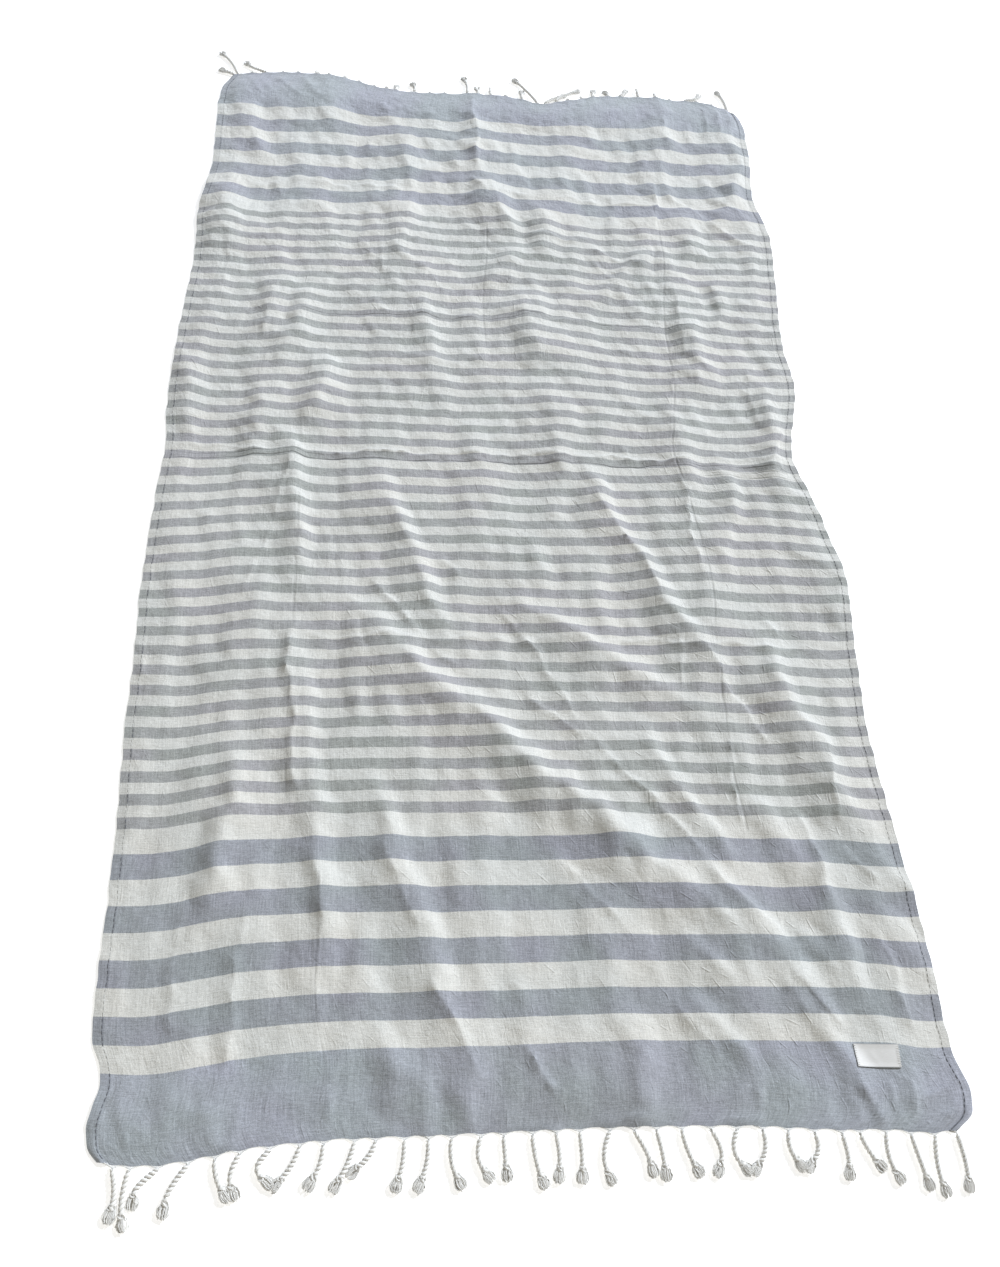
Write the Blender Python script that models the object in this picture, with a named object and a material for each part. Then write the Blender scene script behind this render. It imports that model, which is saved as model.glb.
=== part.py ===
"""Striped hammam towel, laid out on a flat surface with its storage wrinkles.

Metres, +Z up. The towel lies on the plane z = 0 with its length along Y and the labelled end at -Y.
Four pieces: one woven panel whose side hems are part of it, a knotted fringe along each short end,
and a blank label sewn near one corner. The plan is laid out from the middle of the labelled hem and
is centred under one empty at the end.
"""
import math
from collections import namedtuple

import bmesh
import bpy
from mathutils import Vector

# Driving sizes
CLOTH_THICK = 0.0015
GAP = 0.0003
CELLS_ACROSS = 33
CELLS_ALONG = 57
FADE = 0.34                  # share of a fold's length over which each of its ends dies away

HEADER_WIDE = 0.0025         # strip along the hem that joins the tassels
HEADER_SHY = 0.0022          # how far the header runs past its first and last tassel
CORD_WIDE = 0.0046
CORD_TALL = 0.0040
KNOT_WIDE = 0.0075
KNOT_TALL = 0.0055
BRUSH_WIDE = 0.0098
BRUSH_TALL = 0.0045
MIDDLE_AT = 0.40             # where a tassel's cord bows most, as a share of its run
KNOT_AT = 0.74               # where the knot sits along a tassel
ROOT_LIFT = 0.35             # share of the hem's height that the bowed middle still has
STATION_GAP = 0.0006         # header corners closer than this are left out
MM = 0.001

LABEL_SIZE = (0.052, 0.025, 0.0008)
LABEL_AT = (0.381, 0.081)
LABEL_TURN = math.radians(-2.5)

# Plan outline. Side edges: y along the towel, x of the left edge, x of the right edge.
Side = namedtuple("Side", "y left right")
SIDES = (
    Side(0.000, -0.455, 0.460),
    Side(0.030, -0.476, 0.484),
    Side(0.085, -0.473, 0.473),
    Side(0.130, -0.486, 0.473),
    Side(0.200, -0.490, 0.473),
    Side(0.330, -0.492, 0.466),
    Side(0.480, -0.500, 0.459),
    Side(0.600, -0.503, 0.467),
    Side(0.700, -0.507, 0.475),
    Side(0.870, -0.505, 0.453),
    Side(0.935, -0.503, 0.436),
    Side(0.985, -0.508, 0.445),
    Side(1.065, -0.510, 0.464),
    Side(1.190, -0.507, 0.462),
    Side(1.340, -0.502, 0.476),
    Side(1.440, -0.506, 0.483),
    Side(1.530, -0.496, 0.469),
    Side(1.660, -0.498, 0.480),
    Side(1.740, -0.500, 0.481),
    Side(1.800, -0.484, 0.474),
)

# The two hems: x across the towel, y of the edge.
HemPoint = namedtuple("HemPoint", "x y")
NEAR_HEM = (
    HemPoint(-0.455, -0.005),
    HemPoint(-0.360, -0.005),
    HemPoint(-0.264, 0.010),
    HemPoint(-0.100, 0.013),
    HemPoint(0.110, 0.015),
    HemPoint(0.230, 0.012),
    HemPoint(0.357, 0.004),
    HemPoint(0.430, -0.001),
    HemPoint(0.460, 0.003),
)
FAR_HEM = (
    HemPoint(-0.484, 1.797),
    HemPoint(-0.420, 1.803),
    HemPoint(-0.310, 1.802),
    HemPoint(-0.230, 1.791),
    HemPoint(-0.167, 1.784),
    HemPoint(-0.035, 1.790),
    HemPoint(0.086, 1.781),
    HemPoint(0.150, 1.796),
    HemPoint(0.286, 1.806),
    HemPoint(0.400, 1.806),
    HemPoint(0.474, 1.798),
)

# Folds: soft ridges from (x0, y0) to (x1, y1), bowed to the right by bow, half wide on each side.
# A positive lean makes the right-hand side, seen along the fold, the longer and gentler one.
Fold = namedtuple("Fold", "x0 y0 x1 y1 bow half height lean")
FOLDS = (
    # running in from the far hem
    Fold(-0.310, 1.900, -0.290, 1.610, 0.000, 0.062, 0.013, 0.0),
    Fold(-0.450, 1.740, -0.410, 1.540, 0.000, 0.040, 0.009, 0.2),
    Fold(-0.036, 1.940, -0.032, 1.500, 0.004, 0.042, 0.016, 0.3),
    Fold(0.200, 1.920, 0.170, 1.660, 0.000, 0.045, 0.010, 0.0),
    Fold(0.315, 1.900, 0.325, 1.600, 0.000, 0.052, 0.015, 0.0),
    Fold(0.400, 1.900, 0.460, 1.600, 0.000, 0.040, 0.010, 0.0),
    # far third
    Fold(-0.190, 1.720, -0.150, 1.500, 0.000, 0.040, 0.007, 0.0),
    Fold(-0.495, 1.520, -0.450, 1.310, 0.000, 0.055, 0.013, 0.0),
    Fold(-0.150, 1.520, -0.175, 1.290, 0.000, 0.040, 0.009, 0.2),
    Fold(-0.030, 1.580, 0.012, 1.360, 0.000, 0.046, 0.014, 0.0),
    Fold(0.085, 1.510, 0.060, 1.330, 0.000, 0.046, 0.010, 0.0),
    Fold(0.060, 1.400, -0.050, 1.260, 0.000, 0.042, 0.010, 0.0),
    Fold(0.105, 1.225, 0.265, 1.412, 0.010, 0.036, 0.010, 0.2),
    Fold(0.325, 1.530, 0.335, 1.350, 0.000, 0.048, 0.011, 0.0),
    Fold(0.475, 1.690, 0.345, 1.400, -0.012, 0.036, 0.009, 0.0),
    Fold(-0.355, 1.310, -0.390, 1.120, 0.000, 0.036, 0.009, 0.0),
    Fold(-0.300, 1.270, -0.360, 1.080, 0.000, 0.036, 0.009, 0.0),
    Fold(0.025, 1.290, 0.050, 1.090, 0.000, 0.072, 0.013, 0.0),
    Fold(0.316, 1.280, 0.298, 1.030, 0.000, 0.046, 0.014, 0.0),
    Fold(0.372, 1.340, 0.350, 1.160, 0.000, 0.030, 0.006, 0.0),
    # middle, across the centre crease
    Fold(-0.258, 1.140, -0.312, 0.950, 0.000, 0.046, 0.013, 0.0),
    Fold(-0.126, 1.300, -0.116, 0.980, 0.000, 0.038, 0.008, 0.0),
    Fold(0.065, 1.110, 0.090, 0.860, 0.000, 0.062, 0.011, 0.0),
    Fold(0.232, 1.070, 0.282, 0.840, 0.000, 0.040, 0.010, 0.0),
    Fold(0.415, 1.130, 0.398, 0.850, 0.000, 0.034, 0.009, 0.0),
    Fold(0.342, 0.960, 0.300, 0.720, 0.000, 0.036, 0.011, 0.0),
    Fold(-0.498, 1.140, -0.465, 0.930, 0.000, 0.034, 0.008, 0.0),
    Fold(-0.370, 1.070, -0.390, 0.800, 0.000, 0.034, 0.007, 0.0),
    # near half, fanning out from the left of the centre crease
    Fold(-0.330, 1.010, -0.280, 0.620, 0.006, 0.036, 0.011, -0.2),
    Fold(-0.235, 0.920, -0.085, 0.620, 0.000, 0.040, 0.012, 0.2),
    Fold(-0.300, 0.730, 0.320, 0.160, 0.010, 0.050, 0.015, 0.3),
    Fold(0.080, 0.980, 0.300, 0.520, 0.030, 0.042, 0.012, 0.2),
    Fold(-0.302, 0.690, -0.235, 0.100, 0.000, 0.040, 0.010, 0.3),
    Fold(-0.330, 0.770, -0.415, 0.470, 0.000, 0.036, 0.006, 0.0),
    Fold(-0.352, 0.490, -0.385, 0.200, 0.000, 0.036, 0.009, 0.0),
    Fold(-0.225, 0.470, -0.080, 0.060, -0.008, 0.042, 0.009, 0.2),
    Fold(0.125, 0.520, 0.255, 0.290, 0.000, 0.036, 0.008, 0.0),
    Fold(0.315, 0.680, 0.440, 0.290, 0.006, 0.046, 0.012, 0.0),
    Fold(0.342, 0.390, 0.384, 0.112, 0.000, 0.036, 0.008, 0.0),
    Fold(-0.050, 0.705, 0.265, 0.490, 0.000, 0.048, 0.008, 0.0),
)

# Tassels: x of the root on the hem, sideways swing of the tip, reach past the hem and sideways bow
# of the middle, all in millimetres.
Tassel = namedtuple("Tassel", "root swing reach bow")
NEAR_TASSELS = (
    Tassel(-448, 1, 53, 3),
    Tassel(-431, -1, 59, -3),
    Tassel(-403, -20, 38, -5),
    Tassel(-373, -21, 47, -4),
    Tassel(-349, 13, 38, -2),
    Tassel(-320, -2, 42, -5),
    Tassel(-290, -9, 41, -7),
    Tassel(-263, -19, 44, 3),
    Tassel(-239, -11, 47, 3),
    Tassel(-210, -18, 49, 2),
    Tassel(-185, -23, 35, 4),
    Tassel(-156, -8, 54, 2),
    Tassel(-130, -10, 54, 3),
    Tassel(-104, 7, 51, -4),
    Tassel(-77, 8, 44, -6),
    Tassel(-49, 2, 49, 0),
    Tassel(-21, 10, 54, -2),
    Tassel(6, 0, 52, 2),
    Tassel(32, -2, 52, 1),
    Tassel(63, -8, 53, -6),
    Tassel(92, 17, 46, 2),
    Tassel(116, 7, 55, 1),
    Tassel(144, 12, 52, -2),
    Tassel(173, 7, 51, 6),
    Tassel(204, -3, 51, -7),
    Tassel(233, -17, 50, 5),
    Tassel(263, 0, 43, -4),
    Tassel(292, -14, 38, 6),
    Tassel(323, -6, 50, 2),
    Tassel(343, 12, 44, -2),
    Tassel(371, 1, 53, -5),
    Tassel(399, 2, 57, 0),
    Tassel(428, -12, 60, -3),
    Tassel(455, -10, 61, 2),
)
FAR_TASSELS = (
    Tassel(-474, -24, 55, 4),
    Tassel(-446, -14, 18, 0),
    Tassel(-419, -17, 13, 0),
    Tassel(-391, 12, 12, 0),
    Tassel(-363, -12, 14, 0),
    Tassel(-335, 13, 12, 0),
    Tassel(-307, 16, 14, 0),
    Tassel(-279, -8, 16, 0),
    Tassel(-251, 14, 12, 0),
    Tassel(-223, 12, 15, 0),
    Tassel(-195, 10, 12, 0),
    Tassel(-172, 12, 15, 0),
    Tassel(-149, 1, 28, 2),
    Tassel(-120, 12, 15, 0),
    Tassel(-92, -11, 17, 0),
    Tassel(-50, -3, 47, 3),
    Tassel(-28, 3, 20, 2),
    Tassel(-4, 2, 24, -2),
    Tassel(24, -10, 14, 0),
    Tassel(52, -12, 12, 0),
    Tassel(84, -40, 56, 3),
    Tassel(108, 14, 13, 0),
    Tassel(135, 16, 12, 0),
    Tassel(162, 11, 13, 0),
    Tassel(190, -4, 20, 2),
    Tassel(218, 17, 13, 0),
    Tassel(246, 12, 12, 0),
    Tassel(276, 2, 19, 0),
    Tassel(304, -12, 13, 0),
    Tassel(332, -10, 15, 0),
    Tassel(360, 14, 12, 0),
    Tassel(388, 14, 12, 0),
    Tassel(418, -8, 14, 0),
    Tassel(447, -8, 44, 4),
)

# Colours: the panel's mean colour between its blue-grey and its off-white stripes, and the rest.
STRIPED_CLOTH = (0.48, 0.51, 0.56)
FRINGE_YARN = (0.72, 0.70, 0.65)
LABEL_TAPE = (0.86, 0.85, 0.83)
FABRIC_ROUGHNESS = 0.9


def clear_scene():
    for obj in list(bpy.data.objects):
        bpy.data.objects.remove(obj, do_unlink=True)


def fabric(name, colour):
    material = bpy.data.materials.new(name)
    material.use_nodes = True
    shader = material.node_tree.nodes["Principled BSDF"]
    shader.inputs["Base Color"].default_value = (*colour, 1.0)
    shader.inputs["Roughness"].default_value = FABRIC_ROUGHNESS
    shader.inputs["Metallic"].default_value = 0.0
    return material


def smooth(t):
    t = min(max(t, 0.0), 1.0)
    return t * t * (3.0 - 2.0 * t)


def read_table(rows, key, column, at):
    """Straight-line value of a table's column where its key column equals at."""
    keys = [getattr(row, key) for row in rows]
    at = min(max(at, keys[0]), keys[-1])
    for low, high in zip(rows, rows[1:]):
        k0 = getattr(low, key)
        k1 = getattr(high, key)
        if at <= k1:
            t = (at - k0) / (k1 - k0)
            return (1.0 - t) * getattr(low, column) + t * getattr(high, column)
    return getattr(rows[-1], column)


def ridge(fold, x, y):
    """Height of one fold over the plan point x, y."""
    along_axis = Vector((fold.x1 - fold.x0, fold.y1 - fold.y0))
    length = along_axis.length
    along_axis /= length
    offset = Vector((x - fold.x0, y - fold.y0))
    along = offset.dot(along_axis) / length
    if not 0.0 < along < 1.0:
        return 0.0
    across = offset.x * along_axis.y - offset.y * along_axis.x
    across -= 4.0 * fold.bow * along * (1.0 - along)
    reach = fold.half * (1.0 + math.copysign(fold.lean, across))
    if abs(across) >= reach:
        return 0.0
    taper = smooth(min(along, 1.0 - along) / FADE)
    return fold.height * taper * 0.5 * (1.0 + math.cos(math.pi * across / reach))


def lie(x, y):
    """Height of the cloth's underside: folds that meet are blended, and it is 0 between them."""
    return math.sqrt(sum(ridge(fold, x, y) ** 2 for fold in FOLDS))


def plan_point(u, v):
    """Plan position for u across and v along the towel, both from 0 to 1."""
    near_x = NEAR_HEM[0].x + u * (NEAR_HEM[-1].x - NEAR_HEM[0].x)
    far_x = FAR_HEM[0].x + u * (FAR_HEM[-1].x - FAR_HEM[0].x)
    near_y = read_table(NEAR_HEM, "x", "y", near_x)
    far_y = read_table(FAR_HEM, "x", "y", far_x)
    y = near_y + v * (far_y - near_y)
    side_y = SIDES[0].y + v * (SIDES[-1].y - SIDES[0].y)
    left = read_table(SIDES, "y", "left", side_y)
    right = read_table(SIDES, "y", "right", side_y)
    return left + u * (right - left), y


def cloth_point(u, v):
    x, y = plan_point(u, v)
    return Vector((x, y, lie(x, y)))


def hem_points(v):
    """The panel's edge at one end, from left to right, on the panel's own corners."""
    return [cloth_point(i / CELLS_ACROSS, v) for i in range(CELLS_ACROSS + 1)]


def add_object(name, bm, collection, material):
    bmesh.ops.recalc_face_normals(bm, faces=bm.faces)
    mesh = bpy.data.meshes.new(name)
    bm.to_mesh(mesh)
    bm.free()
    mesh.materials.append(material)
    obj = bpy.data.objects.new(name, mesh)
    collection.objects.link(obj)
    return obj


def build_cloth(collection):
    """The panel: a grid laid over the folds, thickened straight up."""
    bm = bmesh.new()
    bmesh.ops.create_grid(bm, x_segments=CELLS_ACROSS, y_segments=CELLS_ALONG, size=0.5)
    for vert in bm.verts:
        vert.co = cloth_point(vert.co.x + 0.5, vert.co.y + 0.5)
    bmesh.ops.triangulate(bm, faces=bm.faces, quad_method="SHORT_EDGE")
    grown = bmesh.ops.extrude_face_region(bm, geom=bm.faces[:])
    upper = [part for part in grown["geom"] if isinstance(part, bmesh.types.BMVert)]
    bmesh.ops.translate(bm, verts=upper, vec=(0.0, 0.0, CLOTH_THICK))
    obj = add_object("cloth", bm, collection, fabric("striped_cloth", STRIPED_CLOTH))
    obj.data.shade_smooth()
    obj.data.set_sharp_from_angle(angle=math.radians(50.0))
    return obj


def point_on(line, x):
    """Point where x falls on a line of points that runs from left to right."""
    for low, high in zip(line, line[1:]):
        if x <= high.x:
            return low.lerp(high, (x - low.x) / (high.x - low.x))
    return line[-1].copy()


def ring(bm, centre, side, wide, low, tall):
    """Four corners of an upright section of a tassel, low left, low right, high right, high left."""
    half = side * (0.5 * wide)
    corners = ((-half, low), (half, low), (half, low + tall), (-half, low + tall))
    return [bm.verts.new((centre.x + way.x, centre.y + way.y, z)) for way, z in corners]


def bridge(bm, first, second):
    for i in range(len(first)):
        j = (i + 1) % len(first)
        bm.faces.new((first[i], first[j], second[j], second[i]))


def add_tooth(bm, opening, root, tassel, outward):
    """One tassel: a cord with a knot and a brush end, grown from an opening in the header strip."""
    run = Vector((tassel.swing * MM, outward * tassel.reach * MM))
    bow = Vector((tassel.bow * MM, 0.0))
    side = Vector((run.y, -run.x)).normalized() * outward
    start = Vector((root.x, root.y))
    sections = (
        (start + run * MIDDLE_AT + bow, CORD_WIDE, root.z * ROOT_LIFT, CORD_TALL),
        (start + run * KNOT_AT + bow * 0.5, KNOT_WIDE, 0.0, KNOT_TALL),
        (start + run, BRUSH_WIDE, 0.0, BRUSH_TALL),
    )
    last = opening
    for centre, wide, low, tall in sections:
        fresh = ring(bm, centre, side, wide, low, tall)
        bridge(bm, last, fresh)
        last = fresh
    bm.faces.new(last)


def header_stations(hem, tassels):
    """The x of each corner of a header strip: both sides of every tassel and the hem's own corners."""
    sides = []
    for tassel in tassels:
        sides.append(tassel.root * MM - 0.5 * CORD_WIDE)
        sides.append(tassel.root * MM + 0.5 * CORD_WIDE)
    first = sides[0] - HEADER_SHY
    last = sides[-1] + HEADER_SHY
    corners = [point.x for point in hem if first < point.x < last]
    corners = [x for x in corners if all(abs(x - side) > STATION_GAP for side in sides)]
    return sorted([first, *sides, *corners, last])


def build_fringe(name, collection, hem, tassels, outward, material):
    """One comb: a narrow header strip along the hem with a tooth for each tassel."""
    bm = bmesh.new()
    to_inner = Vector((0.0, outward * GAP, 0.0))
    to_outer = Vector((0.0, outward * (GAP + HEADER_WIDE), 0.0))
    lift = Vector((0.0, 0.0, CLOTH_THICK))
    stations = header_stations(hem, tassels)
    rings = []
    for x in stations:
        base = point_on(hem, x)
        spots = (base + to_inner, base + to_outer, base + to_outer + lift, base + to_inner + lift)
        rings.append([bm.verts.new(spot) for spot in spots])
    bm.faces.new(rings[0])
    bm.faces.new(rings[-1])
    rooted = {round(tassel.root * MM - 0.5 * CORD_WIDE, 6): tassel for tassel in tassels}
    for x, here, there in zip(stations, rings, rings[1:]):
        low_in, low_out, high_out, high_in = here
        next_low_in, next_low_out, next_high_out, next_high_in = there
        bm.faces.new((low_in, next_low_in, next_low_out, low_out))
        bm.faces.new((high_in, high_out, next_high_out, next_high_in))
        bm.faces.new((low_in, high_in, next_high_in, next_low_in))
        front = (low_out, next_low_out, next_high_out, high_out)
        tassel = rooted.get(round(x, 6))
        if tassel:
            root = (low_out.co + next_low_out.co) * 0.5
            add_tooth(bm, front, root, tassel, outward)
        else:
            bm.faces.new(front)
    return add_object(name, bm, collection, material)


def build_label(collection):
    bpy.ops.mesh.primitive_cube_add(size=1.0)
    obj = bpy.context.active_object
    obj.name = "label"
    obj.data.name = "label"
    obj.scale = LABEL_SIZE
    bpy.ops.object.transform_apply(location=False, rotation=False, scale=True)
    floor_height = lie(*LABEL_AT)
    height = floor_height + CLOTH_THICK + GAP + 0.5 * LABEL_SIZE[2]
    obj.location = (*LABEL_AT, height)
    obj.rotation_euler = (0.0, 0.0, LABEL_TURN)
    obj.data.materials.append(fabric("label_tape", LABEL_TAPE))
    for holder in list(obj.users_collection):
        holder.objects.unlink(obj)
    collection.objects.link(obj)
    return obj


def centre_on_origin(objects, collection):
    """Hang all pieces on one empty, placed so that the towel's box is centred on X and Y."""
    bpy.context.view_layer.update()
    corners = [obj.matrix_world @ vert.co for obj in objects for vert in obj.data.vertices]
    low_x = min(corner.x for corner in corners)
    high_x = max(corner.x for corner in corners)
    low_y = min(corner.y for corner in corners)
    high_y = max(corner.y for corner in corners)
    empty = bpy.data.objects.new("towel_origin", None)
    collection.objects.link(empty)
    empty.location = (-0.5 * (low_x + high_x), -0.5 * (low_y + high_y), 0.0)
    for obj in objects:
        obj.parent = empty


def main():
    clear_scene()
    towel = bpy.data.collections.new("hammam_towel")
    bpy.context.scene.collection.children.link(towel)
    yarn = fabric("fringe_yarn", FRINGE_YARN)
    pieces = [
        build_cloth(towel),
        build_fringe("fringe_near", towel, hem_points(0.0), NEAR_TASSELS, -1.0, yarn),
        build_fringe("fringe_far", towel, hem_points(1.0), FAR_TASSELS, 1.0, yarn),
        build_label(towel),
    ]
    centre_on_origin(pieces, towel)


main()
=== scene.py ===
"""Looks for the striped hammam towel: the woven panel with its folds and creases, the two knotted
fringes, the side hems' stitching and the blank label.

Everything is in metres, except for the tables that say millimetres. The plan is measured from the
middle of the labelled hem, as the CAD's own source measures it: x across the towel and y along it.
PLAN_TO_FRAME carries it into the CAD's frame. Places on the flat panel are distances across it from
its left edge and along it from its labelled end.
"""

import math
from collections import namedtuple

import bpy
import numpy as np
from mathutils import Matrix, Vector


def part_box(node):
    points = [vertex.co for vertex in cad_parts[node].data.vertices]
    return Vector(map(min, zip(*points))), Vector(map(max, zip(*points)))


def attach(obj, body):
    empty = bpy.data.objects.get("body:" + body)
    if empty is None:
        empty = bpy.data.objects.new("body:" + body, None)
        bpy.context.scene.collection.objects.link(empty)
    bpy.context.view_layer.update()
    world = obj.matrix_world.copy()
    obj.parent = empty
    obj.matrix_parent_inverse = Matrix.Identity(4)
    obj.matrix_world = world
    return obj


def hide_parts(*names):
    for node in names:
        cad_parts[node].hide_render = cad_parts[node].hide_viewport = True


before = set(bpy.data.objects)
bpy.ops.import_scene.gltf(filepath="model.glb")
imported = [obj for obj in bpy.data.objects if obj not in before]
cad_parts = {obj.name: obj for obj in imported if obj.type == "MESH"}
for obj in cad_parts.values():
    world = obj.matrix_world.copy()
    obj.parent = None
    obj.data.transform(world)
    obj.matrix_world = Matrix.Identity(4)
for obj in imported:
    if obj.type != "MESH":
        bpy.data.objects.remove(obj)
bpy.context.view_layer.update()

MM = 0.001
WHOLE_TURN = 2.0 * math.pi
UP = np.array([0.0, 0.0, 1.0])

# The label's place ties the plan to the CAD's frame.
LABEL_SIZE = (0.052, 0.025)
LABEL_AT = (0.381, 0.081)
LABEL_TURN = math.radians(-2.5)
label_low, label_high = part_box("label")
PLAN_TO_FRAME = (label_low + label_high) * 0.5 - Vector((*LABEL_AT, 0.0))
PLAN_TO_FRAME.z = 0.0

# The panel as it was woven and cut
FLAT_WIDE = 0.985
FLAT_LONG = 1.802
CLOTH_THICK = 0.0012
HEM_WIDE = 0.012  # each side is turned once and stitched
STITCH_IN = 0.0105  # distance of the stitching from the side edge

# Stripes, from either end: a plain blue band, nine wide stripes that start white, then narrow ones
BAND = 0.091
WIDE = 0.0301
WIDE_COUNT = 9
NARROW_COUNT = 75
STRIPES_END = BAND + WIDE_COUNT * WIDE
NARROW = (FLAT_LONG - 2.0 * STRIPES_END) / NARROW_COUNT


def table(kind, turned, rows):
    """The rows as records of this kind, their first so many columns turned from mm into metres."""
    return tuple(kind(*(value / 1000.0 for value in row[:turned]), *row[turned:]) for row in rows)


# Outline as it lies, in mm. Side edges: y along the towel, x of the left edge, x of the right edge.
Side = namedtuple("Side", "y left right")
SIDES = table(Side, 3, (
    (0, -464, 460), (12, -475, 476), (30, -479, 484), (85, -473, 473), (130, -486, 473),
    (200, -490, 473), (330, -492, 466), (480, -500, 459), (600, -503, 467), (700, -507, 475),
    (870, -505, 453), (935, -503, 436), (985, -508, 445), (1065, -510, 464), (1190, -507, 462),
    (1340, -502, 476), (1440, -506, 483), (1530, -496, 469), (1660, -498, 480), (1720, -499, 482),
    (1765, -496, 481), (1800, -481, 474),
))
HemPoint = namedtuple("HemPoint", "x y")
NEAR_HEM = table(HemPoint, 2, (
    (-464, -2), (-410, -6), (-360, 0), (-330, 5), (-264, 11), (-100, 14),
    (110, 16), (230, 13), (320, 7), (385, 5), (430, 1), (460, 3),
))
FAR_HEM = table(HemPoint, 2, (
    (-481, 1790), (-440, 1795), (-400, 1803), (-310, 1805), (-255, 1795), (-210, 1780),
    (-167, 1776), (-35, 1782), (15, 1785), (50, 1779), (90, 1769), (130, 1783),
    (170, 1794), (205, 1806), (265, 1813), (330, 1811), (400, 1812), (440, 1800),
    (474, 1790),
))
FAR_BASE = 1.790  # the far hem's mean; its waves reach this far down the panel
FAR_WAVES = 0.150

# How far the stripes lie off a straight course, in mm towards the far end, along and across the towel
DRIFT_ACROSS = (0.00, 0.10, 0.26, 0.41, 0.60, 0.74, 0.89, 1.00)
DRIFT_ALONG = (0.00, 0.10, 0.35, 0.60, 0.80, 1.00, 1.25, 1.50, 1.70, FLAT_LONG)
DRIFT_MM = (
    (0, 0, 0, 0, 0, 0, 0, 0),
    (-7, -4, -3, -4, -3, -3, 0, -5),
    (-9, -1, -1, -1, -2, -2, 1, 0),
    (-5, -2, -2, 1, -5, 0, 3, 7),
    (-10, 2, -4, 0, 0, 6, 12, 8),
    (6, 2, 3, 2, 6, 6, 6, 17),
    (5, 2, 5, 5, 12, 4, 7, 12),
    (-7, -4, 3, 12, 8, 9, 16, 22),
    (8, 1, 5, 4, 15, 11, 18, 19),
    (0, 0, 0, 0, 0, 0, 0, 0),
)

# Folds: soft ridges from (x0, y0) to (x1, y1), bowed to the right by bow, half wide on each side, all
# in mm. A positive lean makes the right-hand side, seen along the fold, the longer and gentler one.
Fold = namedtuple("Fold", "x0 y0 x1 y1 bow half height lean")
FOLD_FADE = 0.34  # share of a fold's length over which each of its ends dies away
PEAK = 0.55  # how far a fold's crest goes from round to sharp
PEAK_POWER = 1.7  # and the shape of a wholly sharp one
FOLDS = table(Fold, 7, (
    # running in from the far hem
    (-310, 1900, -290, 1610, 0, 62, 7, 0.0), (-450, 1740, -410, 1540, 0, 40, 9, 0.2),
    (-36, 1940, -32, 1500, 4, 42, 7, -0.2), (200, 1920, 170, 1660, 0, 45, 6, 0.0),
    (315, 1900, 325, 1600, 0, 52, 10, -0.2), (400, 1900, 460, 1600, 0, 40, 6, 0.0),
    # far third
    (-190, 1720, -150, 1500, 0, 40, 7, 0.0), (-490, 1530, -440, 1300, 0, 66, 14, 0.0),
    (-150, 1520, -175, 1290, 0, 40, 9, 0.2), (-30, 1580, 30, 1370, 0, 46, 14, -0.2),
    (85, 1510, 60, 1330, 0, 46, 10, 0.0), (60, 1400, -50, 1260, 0, 42, 10, 0.0),
    (105, 1225, 265, 1412, 10, 36, 10, 0.2), (325, 1530, 335, 1350, 0, 48, 11, 0.0),
    (475, 1690, 345, 1400, -12, 36, 9, 0.0), (-355, 1310, -390, 1120, 0, 36, 9, 0.0),
    (-300, 1270, -360, 1080, 0, 36, 5, 0.0), (25, 1290, 50, 1090, 0, 72, 13, 0.0),
    (316, 1280, 298, 1030, 0, 46, 14, 0.0), (372, 1340, 350, 1160, 0, 30, 6, 0.0),
    # middle, across the centre crease
    (-258, 1140, -312, 950, 0, 46, 13, 0.0), (-126, 1300, -116, 980, 0, 38, 8, 0.0),
    (60, 1110, 72, 850, 0, 56, 11, -0.2), (232, 1070, 282, 840, 0, 40, 8, -0.2),
    (415, 1130, 398, 850, 0, 34, 9, 0.0), (342, 960, 300, 720, 0, 36, 8, -0.3),
    (-498, 1140, -465, 930, 0, 34, 8, 0.0), (-370, 1070, -390, 800, 0, 34, 5, 0.0),
    # near half, fanning out from the left of the centre crease
    (-330, 1010, -280, 620, 6, 36, 9, -0.4), (-210, 920, -85, 570, 0, 40, 12, -0.3),
    (-300, 730, 320, 160, 10, 50, 15, -0.35), (80, 980, 300, 520, 15, 42, 12, -0.35),
    (-302, 690, -235, 100, 0, 40, 10, -0.3), (-330, 770, -415, 470, 0, 36, 6, 0.0),
    (-352, 490, -385, 200, 0, 36, 9, 0.0), (-225, 470, -80, 60, -8, 42, 10, -0.4),
    (125, 520, 255, 290, 0, 34, 9, -0.4), (315, 680, 440, 290, 6, 46, 13, -0.4),
    (342, 390, 384, 112, 0, 36, 9, -0.4), (480, 800, 440, 630, 0, 45, 8, 0.0),
    (-50, 705, 265, 490, 0, 42, 9, -0.4),
    # the plain band of the labelled end
    (-126, 120, -130, -12, 0, 22, 4, 0.1), (-80, 125, -86, 0, 0, 26, 4.8, 0.2),
    (112, 150, 106, -15, 0, 45, 7, 0.45), (273, 195, 388, 4, 0, 38, 7, -0.25),
    (180, 354, 362, 101, 0, 34, 7.5, -0.4),
    # between the wide stripes near the right-hand corner, and left of the middle
    (288, 401, 340, 270, 0, 30, 7, -0.3), (416, 329, 487, 251, 0, 30, 5, -0.3),
    (122, 326, 161, 227, 0, 30, 5.5, -0.3), (160, 230, 239, 149, 0, 30, 6, -0.3),
    (160, 160, 238, 67, 0, 30, 6, -0.3), (290, 194, 352, 100, 0, 30, 7, -0.3),
    (436, 252, 473, 140, 0, 26, 4.5, -0.3), (301, 235, 364, 161, 0, 28, 5, -0.3),
    (-212, 128, -118, 40, 0, 36, 6, -0.3),
))

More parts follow.
